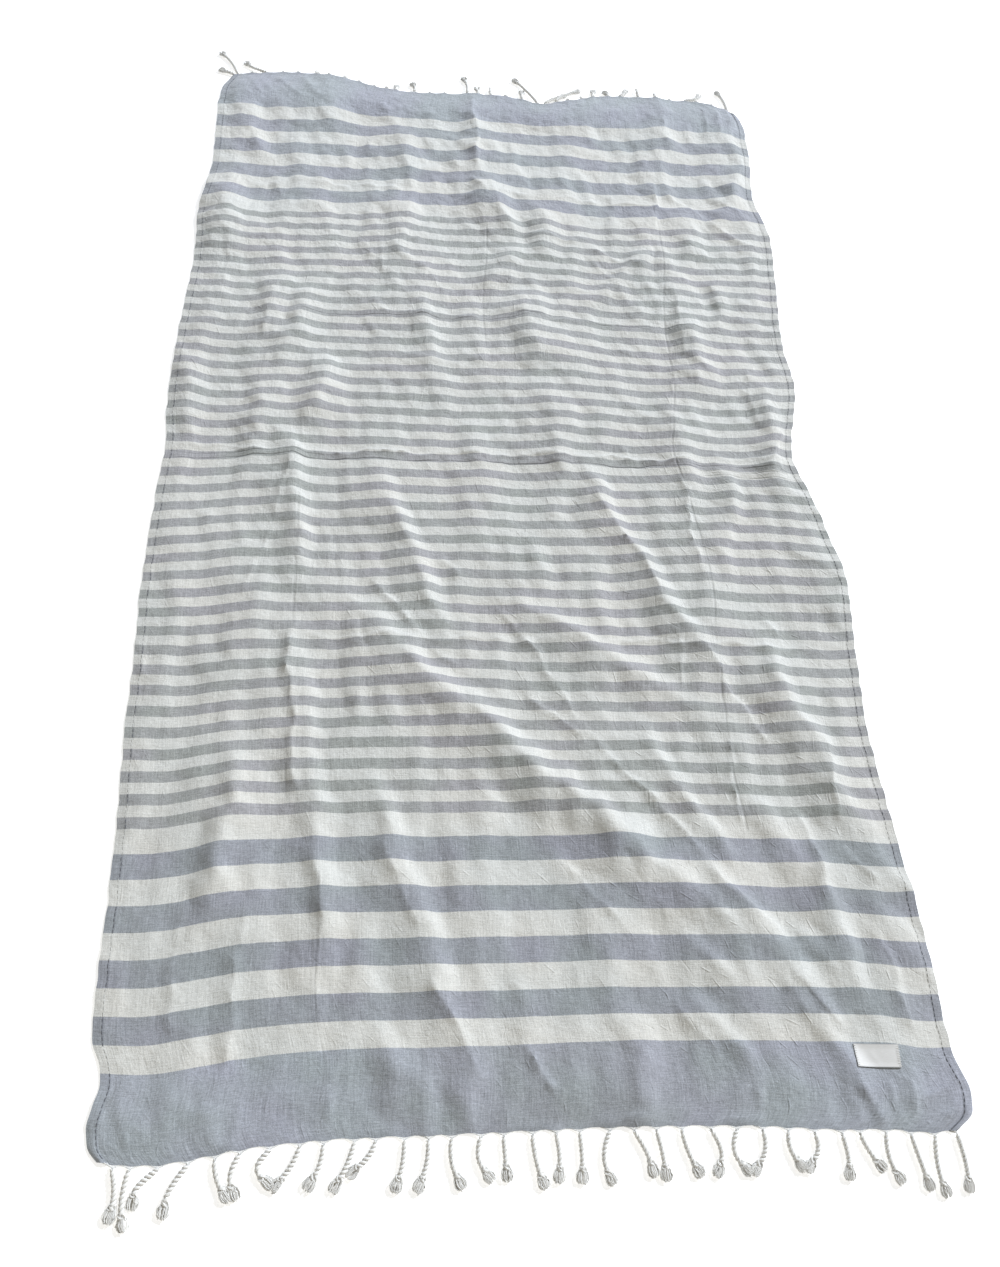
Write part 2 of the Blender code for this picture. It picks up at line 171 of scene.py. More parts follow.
# Creases: sharp-edged ridges, or grooves where the height is negative, in mm. Half and height stay
# in mm in their records.
Crease = namedtuple("Crease", "x0 y0 x1 y1 half height lean")
CREASE_FADE = 0.3
CREASE_POWER = 1.6
CREASE_BEAT = 0.031  # a crease's height swells and sinks along it with this pitch,
CREASE_BEAT_SHARE = 0.22  # by this share of it
CREASES = table(Crease, 4, (
    # pressed in by storage, across the towel
    (-335, 921, -80, 927, 7, 3.8, -0.5), (-130, 926, 150, 934, 7, 4.0, -0.5),
    (100, 933, 310, 928, 7, 4.0, -0.5), (-120, 914, 120, 920, 5, 1.4, -0.3),
    (285, 944, 438, 936, 5, 2.4, -0.3), (275, 930, 432, 920, 5, 2.6, -0.3),
    (290, 916, 425, 907, 5, 2.2, -0.3), (-500, 930, -320, 918, 9, 2.6, -0.5),
    (-270, 1212, 10, 1206, 8, 2.2, -0.4), (-10, 1222, 220, 1205, 8, 2.2, -0.4),
    (-350, 612, 100, 616, 9, 2.4, -0.5), (60, 618, 440, 608, 7, 2.8, 0.4),
    (-400, 1515, -60, 1505, 9, 2.4, -0.4), (20, 1512, 440, 1500, 9, 2.4, -0.4),
    # pressed in by storage, along the towel
    (-257.5, 345, -248, 85, 6, 1.5, -0.4), (262, 505, 264, 330, 6, 3.2, -0.4),
    (395, 490, 392, 340, 7, 3.4, -0.4), (250, 925, 264, 715, 6, 3.4, -0.5),
    (213, 650, 215, 530, 5, 2.6, -0.4), (-308, 648, -303, 490, 11, 5.4, 0.1),
    (-302, 540, -288, 380, 10, 4.2, 0.2), (-150, 1255, -150, 1145, 6, 1.8, 0.0),
    (-450, 1365, -450, 1230, 6, 1.6, 0.0), (-300, 1130, -300, 1060, 6, 2.0, 0.0),
    (261, 1450, 262, 1290, 6, -2.0, 0.0), (286, 1310, 288, 1190, 6, 1.8, 0.0),
    (291, 1220, 291, 1125, 5, 1.6, 0.3), (264, 1130, 264, 1025, 5, 1.6, 0.3),
    (358, 1365, 356, 1200, 8, 1.0, 0.0), (385, 1140, 392, 970, 9, 2.6, 0.0),
    (-196, 1367, -203, 1280, 6, 2.2, -0.5),
    # near end
    (-189, 360, -129, 185, 12, 3.2, -0.4), (-137, 205, -66, 56, 12, 4.2, -0.4),
    (-34, 106, 20, 44, 8, 4.8, -0.5), (80, 354, 160, 253, 10, -1.6, 0.0),
    (132, 419, 218, 303, 9, 4.2, -0.5), (210, 315, 324, 180, 9, 4.2, -0.5),
    (384, 332, 432, 273, 8, 3.0, -0.4), (277, 206, 360, 95, 13, 3.4, -0.4),
    (384, 66, 408, -6, 7, 2.6, -0.3), (331, 66, 359, -2, 7, 1.4, -0.4),
    (406, 64, 427, -6, 7, 2.6, -0.3), (-336, 310, -350, -10, 17, 3.4, -0.4),
    (-410, 300, -409, 90, 16, 3.0, -0.4), (100, 96, 100, 24, 8, 1.2, 0.0),
    (240, 70, 235.5, 0, 6, 2.6, -0.4),
    # near half
    (0, 626, 46, 543, 10, 3.6, -0.4), (44, 549, 68, 481, 10, 3.6, -0.4),
    (66, 488, 187, 361, 10, 3.8, -0.4), (271, 560, 310, 498, 7, -1.8, 0.0),
    (346, 664, 365, 609, 6, 2.8, -0.4), (-322, 925, -340, 795, 8, 3.2, -0.4),
    (-339, 815, -377, 655, 9, 3.2, -0.4), (-269, 816, -240, 676, 8, -2.0, 0.0),
    (-243, 694, -195, 564, 9, -1.8, 0.0), (-207, 708, -126, 603, 9, 3.6, -0.4),
    (-131, 610, -77, 566, 9, 3.4, -0.4), (-119, 755, -72, 699, 8, 3.0, -0.4),
    (243, 628, 287, 520, 9, 3.6, -0.4), (283, 536, 318, 452, 8, 3.0, -0.4),
    (106, 884, 176, 748, 9, 3.2, -0.4), (168, 764, 213, 655, 9, 2.8, -0.4),
    (-40, 672, 22, 590, 8, 3.0, -0.4), (-20, 560, 86, 448, 9, 3.4, -0.4),
    (20, 330, 118, 205, 10, 2.8, -0.4), (330, 400, 372, 255, 9, 3.0, -0.4),
    (404, 235, 436, 130, 8, 2.6, -0.4), (150, 160, 205, 60, 10, 2.2, -0.4),
    # far half
    (-380, 1232, -382, 1114, 8, 2.0, 0.0), (-259, 1216, -275, 1130, 7, 1.8, 0.0),
    (-322, 970, -308, 925, 7, -2.2, 0.0), (-132, 1315, -94, 1245, 7, 2.0, 0.0),
    (142, 1374, 216, 1274, 8, 2.0, 0.0), (-41, 1798, -31, 1540, 13, 3.4, -0.5),
    (-60, 1566, -16, 1495, 8, 3.2, 0.0), (-456, 1792, -414, 1732, 6, 1.6, 0.0),
    (-436, 1797, -394, 1738, 6, 1.6, 0.0), (-406, 1802, -344, 1722, 8, 2.6, 0.0),
    (-361, 1800, -314, 1733, 8, 1.8, 0.0), (400, 1805, 409, 1712, 6, 2.2, 0.0),
    (425, 1802, 431, 1702, 6, 2.2, 0.0), (447, 1795, 453, 1686, 6, 2.2, 0.0),
    (314, 1754, 336, 1686, 8, 2.2, 0.0), (450, 1800, 462, 1738, 9, 6.0, -0.8),
    (284, 1585, 278, 1430, 10, 4.6, -0.6), (290, 1556, 372, 1472, 10, 4.0, -0.5),
    (362, 1480, 470, 1404, 9, 3.4, -0.5), (30, 1420, 140, 1392, 9, 3.0, -0.5),
    (130, 1394, 262, 1338, 9, 3.2, -0.5), (-20, 1508, 60, 1520, 6, 2.6, -0.5),
    (-180, 1130, -60, 1096, 8, 2.4, -0.4), (350, 66, 382, 4, 12, 4.2, -0.4),
    (418, 165, 437, 100, 12, 3.2, -0.3), (282, 182, 318, 100, 13, 3.0, -0.3),
    (303, 165, 342, 110, 12, -2.6, 0.0), (340, 66, 372, 6, 13, -2.6, 0.0),
    (40, 22, 130, 20, 10, 2.6, -0.2), (160, 16, 245, 15, 8, 2.0, -0.2),
    (-40, 14, 30, 16, 8, 1.8, -0.2),
    # corners of the labelled end
    (422, 30, 462, 52, 7, 3.0, -0.5), (446, 10, 470, 30, 6, 3.0, -0.5),
    (-452, 50, -430, 2, 7, 2.0, -0.4),
    # crumpled right edge
    (430, 1020, 398, 926, 7, 2.8, 0.0), (446, 990, 424, 926, 6, 2.2, 0.0),
    (376, 957, 442, 964, 5, 1.6, 0.0),
))

# Random small wrinkles, all from one seed: how many, and how they lie. The far half has the higher
# ones, in every direction; the near half's fan out from the left of the centre crease.
SEED = 11
WRINKLES = 1200
WRINKLE_X = (-0.5, 0.48)
WRINKLE_Y = (0.0, 1.8)
WRINKLE_LONG = (0.025, 0.100)
WRINKLE_HALF = (0.008, 0.020)
WRINKLE_HIGH = (0.0004, 0.0030)
WRINKLE_LEAN = (-0.6, 0.3)
NEAR_CROWD = 0.30  # how many of those drawn in the near half are kept
EDGE_CROWD = 0.7  # and near the sides
FAN_X = -0.30  # where the near half's wrinkles fan out from
FAN_Y = 1.15
HIGHEST = 0.0215  # the folds and wrinkles are eased off above three quarters of this

# Tassels: x of the root on the hem, sideways swing of the tip, reach past the hem and sideways bow
# of the middle, all in millimetres. A negative reach is a tassel tucked back under the hem: it is how
# far under its knot lies, and the bow is then how far out the turn goes.
Tassel = namedtuple("Tassel", "root swing reach bow")
NEAR_TASSELS = table(Tassel, 0, (
    (-448, 5, 52, 3), (-431, -2, 58, -3), (-403, -28, 36, -5), (-373, -25, 50, -4), (-347, 13, 44, -3),
    (-322, -8, 46, -5), (-292, -8, 42, -9), (-262, -25, 45, 3), (-238, -13, 47, 3), (-206, -20, 50, 2),
    (-184, -27, 38, 4), (-154, -8, 52, 2), (-129, -10, 53, 3), (-104, 7, 52, -4), (-73, 5, 48, -6),
    (-49, 2, 46, 0), (-18, 9, 55, -2), (7, 2, 50, 2), (33, 0, 52, 1), (66, -6, 55, -6),
    (92, 20, 47, 2), (117, 7, 52, 1), (145, 14, 50, -2), (177, 7, 50, 6), (207, 2, 50, -8),
    (235, -14, 49, 6), (264, 7, 44, -4), (293, -11, 44, 6), (324, 2, 49, 2), (345, 18, 42, -2),
    (375, 4, 54, -4), (403, 10, 58, 0), (431, -3, 63, -3), (457, 2, 61, 2),
))
FAR_TASSELS = table(Tassel, 0, (
    (-479, -26, 15, 0), (-472, -34, 66, 4), (-446, 6, -28, 4), (-419, -44, 29, -4), (-391, 8, -29, 3),
    (-363, -6, -27, 5), (-331, 16, -20, 13), (-307, 4, -28, 6), (-278, 12, -24, 9), (-251, 8, -29, 4),
    (-223, 5, -27, 4), (-199, -7, -24, 9), (-183, 2, 21, 0), (-149, 1, 34, 2), (-120, 7, -29, 4),
    (-92, -6, -27, 4), (-50, -3, 57, 3), (-30, 3, 29, 1), (-6, 5, -14, 25), (24, -6, -26, 7),
    (54, 1, 33, 0), (83, -42, 76, 3), (97, 42, 40, -4), (118, 50, 50, -6), (143, -5, -25, 8),
    (168, 6, -24, 10), (191, 5, 29, 0), (220, 6, 22, 2), (244, 20, 25, 2), (281, 3, -12, 30),
    (314, 5, -20, 18), (342, 6, -27, 5), (372, 40, 25, 6), (396, -5, -28, 5), (425, -8, -28, 4),
    (456, -12, 63, 3),
))


# ---- the lie of the cloth


def smooth(t):
    t = np.clip(t, 0.0, 1.0)
    return t * t * (3.0 - 2.0 * t)


def along_line(keys, values, at):
    """Read a smooth line through the values at the keys; the values may be rows of several columns."""
    keys = np.asarray(keys, float)
    values = np.asarray(values, float)
    slopes = np.gradient(values, keys, axis=0)
    at = np.clip(at, keys[0], keys[-1])
    i = np.clip(np.searchsorted(keys, at) - 1, 0, len(keys) - 2)
    step = keys[i + 1] - keys[i]
    t = (at - keys[i]) / step
    extra = (1,) * (values.ndim - 1)
    step = step.reshape(step.shape + extra)
    t = t.reshape(t.shape + extra)
    near = values[i] * (1.0 + 2.0 * t) + slopes[i] * step * t
    far = values[i + 1] * (3.0 - 2.0 * t) + slopes[i + 1] * step * (t - 1.0)
    return near * (1.0 - t) ** 2 + far * t ** 2


def column(rows, name):
    return [getattr(row, name) for row in rows]


def from_side(across):
    """Distance from the nearer side edge."""
    return np.minimum(across, FLAT_WIDE - across)


def from_end(along):
    """Distance from the nearer hem."""
    return np.minimum(along, FLAT_LONG - along)


def taper(share, fade):
    """1 over the middle of a line, dying away over this share of its length at each end."""
    return smooth(np.minimum(share, 1.0 - share) / fade)


def any_turn(rng):
    """A random angle."""
    return rng.uniform(0.0, WHOLE_TURN)


EDGE_WAVES = (0.170, 0.093, 0.061, 0.043, 0.029)
EDGE_WAVER = 0.00035
RIM = 0.02  # how far into the panel they show


def edge_waver(s):
    """The side edges' small unevenness."""
    rng = np.random.default_rng(SEED + 3)
    total = np.zeros_like(s)
    for wave in EDGE_WAVES:
        total += EDGE_WAVER * np.sin(WHOLE_TURN * s / wave + any_turn(rng))
    return total


PULL = 0.0016  # how far each tassel draws the hem out
PULL_HALF = 0.007
PULL_IN = 0.012  # how far into the panel that shows


def pulled(x, s_off, tassels):
    """How far the tassels draw the cloth out, at plan x across and distances s_off from their hem."""
    roots = np.array(column(tassels, "root")) * MM
    beside = np.exp(-((x[:, None] - roots[None, :]) / PULL_HALF) ** 2).max(1)
    return PULL * beside[None, :] * np.exp(-s_off / PULL_IN)[:, None]


def hem_course(hem, u):
    """Plan x and y of a hem's points at the shares u across."""
    x = hem[0].x + u * (hem[-1].x - hem[0].x)
    return x, along_line(column(hem, "x"), column(hem, "y"), x)


def lay_out(u, s):
    """Plan x and y for shares u across and distances s along the flat panel, as arrays [s, u]."""
    v = s / FLAT_LONG
    side_y = v * SIDES[-1].y
    left = along_line(column(SIDES, "y"), column(SIDES, "left"), side_y)
    right = along_line(column(SIDES, "y"), column(SIDES, "right"), side_y)
    x = left[:, None] + u[None, :] * (right - left)[:, None]
    near_x, near_y = hem_course(NEAR_HEM, u)
    far_x, far_y = hem_course(FAR_HEM, u)
    y = near_y[None, :] + v[:, None] * (FAR_BASE - near_y)[None, :]
    waving = smooth((s - FLAT_LONG + FAR_WAVES) / FAR_WAVES)
    y = y + waving[:, None] * (far_y - FAR_BASE)[None, :]
    y = y - pulled(near_x, s, NEAR_TASSELS) + pulled(far_x, FLAT_LONG - s, FAR_TASSELS)
    drift = along_line(DRIFT_ALONG, DRIFT_MM, s)
    drift = along_line(DRIFT_ACROSS, drift.T, u).T
    rim = np.exp(-np.minimum(u, 1.0 - u) * FLAT_WIDE / RIM)[None, :]
    return x + rim * edge_waver(s)[:, None], y + drift * MM


def place_on(line, x, y):
    """For the points x, y: the share of the way along a fold or crease, the distance to its right,
    and its direction."""
    axis = Vector((line.x1 - line.x0, line.y1 - line.y0))
    length = axis.length
    axis.normalize()
    off_x = x - line.x0
    off_y = y - line.y0
    return (off_x * axis.x + off_y * axis.y) / length, off_x * axis.y - off_y * axis.x, axis


LONG_SWAY = 0.0032  # size of the long waves that lines follow, and of the short ones
SHORT_SWAY = 0.0017


def warped(x, y):
    """Places moved a few millimetres, so that folds and creases don't run dead straight."""

    def wave(turns):
        return np.sin(WHOLE_TURN * turns)

    move_x = LONG_SWAY * wave(y / 0.131 + x / 1.9) + SHORT_SWAY * wave(y / 0.047 + x / 0.11)
    move_y = LONG_SWAY * wave(x / 0.117 + y / 2.3) + SHORT_SWAY * wave(x / 0.052 - y / 0.13)
    return x + move_x, y + move_y


def soft_ridge(fold, x, y):
    """A fold: round at its feet and somewhat peaked along its crest."""
    along, across, _ = place_on(fold, x, y)
    across = across - 4.0 * fold.bow * along * (1.0 - along)
    reach = fold.half * (1.0 + np.copysign(fold.lean, across))
    off = np.clip(np.abs(across) / reach, 0.0, 1.0)
    rounded = 0.5 * (1.0 + np.cos(np.pi * off))
    peaked = (1.0 - off) ** PEAK_POWER
    return fold.height * taper(along, FOLD_FADE) * (rounded + PEAK * (peaked - rounded))


def sharp_ridge(crease, x, y):
    """A ridge whose crest is an edge and whose feet run out level."""
    along, across, _ = place_on(crease, x, y)
    reach = crease.half * MM * (1.0 + np.copysign(crease.lean, across))
    length = math.hypot(crease.x1 - crease.x0, crease.y1 - crease.y0)
    beat = along * length / CREASE_BEAT + 9.0 * crease.x0 + 5.0 * crease.y0
    share = 1.0 - CREASE_BEAT_SHARE + CREASE_BEAT_SHARE * np.sin(WHOLE_TURN * beat)
    side = np.clip(1.0 - np.abs(across) / reach, 0.0, 1.0) ** CREASE_POWER
    return crease.height * MM * taper(along, CREASE_FADE) * share * side


def random_wrinkles():
    """Small wrinkles: the far half and the sides have more of them, and the far half higher ones."""
    rng = np.random.default_rng(SEED)
    low, high = WRINKLE_HIGH
    found = []
    while len(found) < WRINKLES:
        x = rng.uniform(*WRINKLE_X)
        y = rng.uniform(*WRINKLE_Y)
        far = float(smooth((y - 0.75) / 0.65))
        crowd = NEAR_CROWD + (1.0 - NEAR_CROWD) * far
        crowd = max(crowd, EDGE_CROWD * float(smooth((abs(x) - 0.36) / 0.1)))
        if rng.uniform() > crowd:
            continue
        fan = 0.9 * math.atan2(max(x - FAN_X, 0.0), FAN_Y - min(y, 1.0))
        turn = rng.normal(0.0, 0.30 + 0.60 * far) + fan * (1.0 - far)
        long = rng.uniform(*WRINKLE_LONG)
        half = rng.uniform(*WRINKLE_HALF)
        height = low + (high - low) * rng.uniform() ** 2.0 * (0.60 + 0.40 * far)
        # lower ones in the far band
        height *= 1.0 - 0.45 * float(smooth((y - 1.62) / 0.1))
        dx = -0.5 * long * math.sin(turn)
        dy = 0.5 * long * math.cos(turn)
        lean = rng.uniform(*WRINKLE_LEAN)
        found.append(Crease(x + dx, y + dy, x - dx, y - dy, half / MM, height / MM, lean))
    return found


SWELL_WAVES = (0.21, 0.15, 0.11, 0.083, 0.061, 0.047, 0.038, 0.031)
SWELL_DIRECTIONS = 3  # waves of each length
SWELL = 0.0016  # height of the longest ones


def random_swell(x, y):
    """The panel's slight unevenness between folds, from crossing waves of many lengths."""
    rng = np.random.default_rng(SEED + 1)
    total = np.zeros_like(x)
    longest = SWELL_WAVES[0]
    for wave in SWELL_WAVES:
        for _ in range(SWELL_DIRECTIONS):
            turn = rng.normal(0.0, 0.7)
            phase = any_turn(rng)
            run = (x * math.cos(turn) + 0.6 * y * math.sin(turn)) * WHOLE_TURN / wave
            total += SWELL * (wave / longest) ** 0.8 * np.sin(run + phase)
    return total


WRINKLE_LINES = random_wrinkles()
BASE_LIFT = 0.0024  # how far the panel stands off the floor inside its edges
EDGE_RUN = 0.045  # how far in from an edge it reaches that
FAR_LIFT = 0.0062  # the far hem stands on its own tassels, tucked back under it
FAR_LIFT_ENDS = 0.118  # how far in from that hem the panel is down again,
FAR_LIFT_RUN = 0.068  # the length of that slope,
FAR_LIFT_SIDE = 0.030  # and of those at the sides
SWELL_SHARE = 0.6
SWELL_HELD = 0.8  # how much of the swell the lift takes out
EASED_FROM = 0.75  # share of HIGHEST from which heights are eased off


def lie(x, y, across, along):
    """Height of the cloth's underside over the floor."""
    side = from_side(across)
    inside = smooth(np.minimum(side, from_end(along)) / EDGE_RUN)
    x, y = warped(x, y)
    tucked = smooth((FAR_LIFT_ENDS - FLAT_LONG + along) / FAR_LIFT_RUN) * smooth(side / FAR_LIFT_SIDE)
    folded = sum(soft_ridge(fold, x, y) ** 2 for fold in FOLDS)
    height = np.sqrt(folded + (FAR_LIFT * tucked) ** 2)
    swell = SWELL_SHARE * (1.0 - SWELL_HELD * tucked) * random_swell(x, y)
    height = height + inside * (BASE_LIFT + swell)
    for crease in (*CREASES, *WRINKLE_LINES):
        height = height + sharp_ridge(crease, x, y)
    knee = EASED_FROM * HIGHEST
    over = np.maximum(height - knee, 0.0)
    height = np.minimum(height, knee) + (HIGHEST - knee) * (1.0 - np.exp(-over / (HIGHEST - knee)))
    return np.maximum(height, 0.0)


HEM_STEP = 0.0003
HEM_STEP_OUT = 0.0012  # the step's foot lies this far beyond the hem,
HEM_STEP_RUN = 0.0032  # and the step is this wide
CORNER_ROLL = 0.0024
CORNER_RUN = 0.032  # how fast the roll dies away from the ends


def hem_rise(across, along):
    """The step up to the turned hem along each side; near the corners the hem rolls up further."""
    side = from_side(across)
    roll = np.sin(np.pi * np.clip(side / HEM_WIDE, 0.0, 1.0)) * np.exp(-from_end(along) / CORNER_RUN)
    return HEM_STEP * smooth((HEM_WIDE + HEM_STEP_OUT - side) / HEM_STEP_RUN) + CORNER_ROLL * roll


# ---- object and mesh helpers


def add_object(name, data):
    made = bpy.data.objects.new(name, data)
    bpy.context.scene.collection.objects.link(made)
    return made


def add_mesh(name, points, faces, material, sharp_from):
    """An object from point rows and faces, moved from the plan into the CAD's frame. Edges that turn
    by more than sharp_from degrees stay sharp."""
    mesh = bpy.data.meshes.new(name)
    moved = np.asarray(points) + np.array(PLAN_TO_FRAME)
    mesh.from_pydata(moved.tolist(), [], [tuple(face) for face in faces])
    mesh.shade_smooth()
    mesh.set_sharp_from_angle(angle=math.radians(sharp_from))
    mesh.materials.append(material)
    return add_object(name, mesh)


def add_values(obj, name, values):
    """A number for each vertex, which materials read by its name."""
    attribute = obj.data.attributes.new(name, "FLOAT", "POINT")
    attribute.data.foreach_set("value", np.asarray(values, np.float32).ravel())


def unit_rows(vectors):
    """The vectors in rows, each made one long."""
    return vectors / np.maximum(np.linalg.norm(vectors, axis=1), 1e-9)[:, None]


class Yarns:
    """Collects tubes of yarn into one mesh."""

    def __init__(self):
        self.points = []
        self.faces = []
        self.painted_shade = []
        self.count = 0

    def tube(self, path, radius, sides, away, groove_shade=0.0, shade=0.0):
        """A capped tube along the path. Away points off its middle line and sets where it starts;
        groove_shade paints shade on the side facing the other way, and shade paints it on whole rings."""
        path = np.asarray(path, float)
        tangent = unit_rows(np.gradient(path, axis=0))
        away = np.broadcast_to(np.asarray(away, float), path.shape)
        first = unit_rows(away - (away * tangent).sum(1)[:, None] * tangent)
        second = np.cross(tangent, first)
        turn = np.arange(sides) * 2.0 * np.pi / sides
        radius = np.broadcast_to(np.asarray(radius, float), len(path))[:, None, None]
        ring = first[:, None, :] * np.cos(turn)[None, :, None]
        ring = ring + second[:, None, :] * np.sin(turn)[None, :, None]
        self.points.append((path[:, None, :] + radius * ring).reshape(-1, 3))
        hidden_side_shade = groove_shade * (0.5 - 0.5 * np.cos(turn))
        shade = np.broadcast_to(np.asarray(shade, float), len(path))
        self.painted_shade.append((hidden_side_shade[None, :] + shade[:, None]).ravel())
        self.join_rings(len(path), sides)

    def join_rings(self, rings, sides):
        """Faces between the rings just added, and over both ends."""
        for i in range(rings - 1):
            low = self.count + i * sides
            for j in range(sides):
                k = (j + 1) % sides
                self.faces.append((low + j, low + k, low + sides + k, low + sides + j))
        last = self.count + (rings - 1) * sides
        self.faces.append(tuple(range(self.count + sides - 1, self.count - 1, -1)))
        self.faces.append(tuple(range(last, last + sides)))
        self.count += rings * sides

    def build(self, name, material):
        obj = add_mesh(name, np.concatenate(self.points), self.faces, material, 60.0)
        # each vertex's painted shade, which darkens the fringe yarn
        add_values(obj, "painted_shade", np.concatenate(self.painted_shade))
        return obj

    def press(self, first, share):
        """Flatten everything collected since the first piece towards the floor."""
        for points in self.points[first:]:
            points[:, 2] *= share


def bezier(points, count):
    """Points along the Bezier curve that has these handles."""
    t = np.linspace(0.0, 1.0, count)[:, None]
    rows = [np.asarray(point, float)[None, :] + 0.0 * t for point in points]
    while len(rows) > 1:
        rows = [low * (1.0 - t) + high * t for low, high in zip(rows, rows[1:])]
    return rows[0]


# ---- materials


def math_node(operation):
    return lambda reading, *others: reading.graph.math(operation, reading, *others)


class Reading:
    """What a node gives out. Arithmetic with it adds Math nodes."""

    def __init__(self, graph, socket):
        self.graph = graph
        self.socket = socket

    def __rsub__(self, number):
        return self.graph.math("SUBTRACT", number, self)

    __add__ = math_node("ADD")
    __sub__ = math_node("SUBTRACT")
    __mul__ = math_node("MULTIPLY")
    __truediv__ = math_node("DIVIDE")
    __abs__ = math_node("ABSOLUTE")


class Graph:
    """A material's node tree with short ways to add its nodes."""

    def __init__(self, name):
        self.material = bpy.data.materials.new(name)
        self.material.use_nodes = True
        self.tree = self.material.node_tree
        self.shader = self.tree.nodes["Principled BSDF"]

    def put(self, socket, value):
        if isinstance(value, Reading):
            self.tree.links.new(value.socket, socket)
        else:
            socket.default_value = value

    def node(self, kind, settings=(), **inputs):
        made = self.tree.nodes.new(kind)
        for name, value in dict(settings).items():
            setattr(made, name, value)
        for name, value in inputs.items():
            self.put(made.inputs[name], value)
        return made

    def first(self, kind, settings, *values):
        """Add a node, fill its inputs in their order and read its first output."""
        made = self.node(kind, settings)
        for socket, value in zip(made.inputs, values):
            self.put(socket, value)
        return Reading(self, made.outputs[0])

    def math(self, operation, *values):
        return self.first("ShaderNodeMath", {"operation": operation}, *values)

    def lower(self, first, second):
        return self.math("MINIMUM", first, second)

    def higher(self, first, second):
        return self.math("MAXIMUM", first, second)

    def vector(self, x, y, z=0.0):
        return self.first("ShaderNodeCombineXYZ", {}, x, y, z)

    def parts(self, vector):
        made = self.node("ShaderNodeSeparateXYZ", Vector=vector)
        return [Reading(self, output) for output in made.outputs]

    def spread(self, value, low, high, to_low, to_high):
        """Map low to high onto to_low to to_high, holding the ends."""
        return self.first("ShaderNodeMapRange", {}, value, low, high, to_low, to_high)

    def value(self, name):
        """A vertex number by its name."""
        made = self.node("ShaderNodeAttribute", {"attribute_name": name})
        return Reading(self, made.outputs["Fac"])

    def place(self):
        """Place on the object, in metres."""
        return Reading(self, self.node("ShaderNodeTexCoord").outputs["Object"])

    def noise(self, place, scale, detail=2.0, roughness=0.5):
        made = self.node(
            "ShaderNodeTexNoise", Vector=place, Scale=scale, Detail=detail, Roughness=roughness
        )
        return Reading(self, made.outputs["Fac"])

    def blend(self, share, low, high, kind="MIX"):
        made = self.node("ShaderNodeMix", {"data_type": "RGBA", "blend_type": kind})
        for index, value in ((0, share), (6, low), (7, high)):
            self.put(made.inputs[index], value)
        return Reading(self, made.outputs[2])

    def dim(self, colour, tone):
        """Darken or brighten a colour by a number."""
        return self.blend(1.0, colour, self.vector(tone, tone, tone), "MULTIPLY")

    def bump(self, height, distance, strength=1.0, under=None):
        made = self.node("ShaderNodeBump", Height=height, Distance=distance, Strength=strength)
        if under is not None:
            self.put(made.inputs["Normal"], under)
        return Reading(self, made.outputs[0])

    def set(self, **values):
        """Fill the shader's sockets, with _ for each space in their names."""
        for name, value in values.items():
            self.put(self.shader.inputs[name.replace("_", " ")], value)

    def finish(self, colour, roughness, normal=None, sheen=0.0):
        self.set(Base_Color=colour, Roughness=roughness, Specular_IOR_Level=0.2)
        self.set(Sheen_Weight=sheen, Sheen_Roughness=0.6)
        if normal is not None:
            self.set(Normal=normal)
        return self.material


OFF_WHITE = (0.552, 0.553, 0.520, 1.0)
ECRU = (0.560, 0.547, 0.502, 1.0)
BAND_BLUE = (0.306, 0.324, 0.349, 1.0)
# painted shade for the middle of the labelled end's band
SHADED_BAND_BLUE = (0.277, 0.290, 0.304, 1.0)
WIDE_BLUE = (0.264, 0.276, 0.292, 1.0)
NARROW_GREY = (0.297, 0.299, 0.290, 1.0)
GREENISH = (0.975, 1.005, 0.972, 1.0)
VIOLET = (1.015, 0.987, 1.040, 1.0)
YARN_WHITE = (0.775, 0.763, 0.724, 1.0)
YARN_DARK = (0.330, 0.315, 0.285, 1.0)
# painted shade of the stitches where they sink into the blue stripes
SUNK_STITCH_SHADE = (0.045, 0.052, 0.075, 1.0)
STITCH_PALE = (0.440, 0.440, 0.415, 1.0)
LABEL_WHITE = (0.630, 0.622, 0.600, 1.0)
LABEL_SHADE = (0.520, 0.512, 0.494, 1.0)
LABEL_EDGE = (0.330, 0.330, 0.325, 1.0)

STRIPE_WAVER = 0.0005  # how far single threads stray over a stripe's edge
STRIPE_BLUR = 0.0006


def stripe_shares(graph):
    """Distances across and along, the share of white weft, and 1 among the narrow stripes and in the
    plain bands."""
    across = graph.value("across")
    along = graph.value("along")
    waver = graph.noise(graph.vector(across, along), 60.0)
    along = along + graph.spread(waver, 0.0, 1.0, -STRIPE_WAVER, STRIPE_WAVER)
    off_end = graph.lower(along, FLAT_LONG - along)

    def soft_wave(start, pitch):
        """1 in the first stripe after start, 0 in the next, and so on, with woven-sharp edges."""
        wave = graph.math("PINGPONG", (off_end - start) / pitch + 0.5, 1.0)
        wave = (wave - 0.5) * (pitch / STRIPE_BLUR) + 0.5
        return graph.lower(graph.higher(wave, 0.0), 1.0)

    in_band = graph.math("LESS_THAN", off_end, BAND - 0.5 * WIDE)
    in_middle = graph.math("GREATER_THAN", off_end, STRIPES_END)
    wide_white = soft_wave(BAND, WIDE) * (1.0 - in_band)
    narrow_white = 1.0 - soft_wave(STRIPES_END, NARROW)
    white = (narrow_white - wide_white) * in_middle + wide_white
    band = graph.math("LESS_THAN", off_end, BAND + 0.5 * WIDE)
    return across, along, white, in_middle, band


PRESSED_HALF = 0.0014  # half the width of the short creases
TURN_LEFT = 1.57  # their direction at the left edge and at the right one, in radians
TURN_RIGHT = 2.2
TURN_SPREAD = 1.4


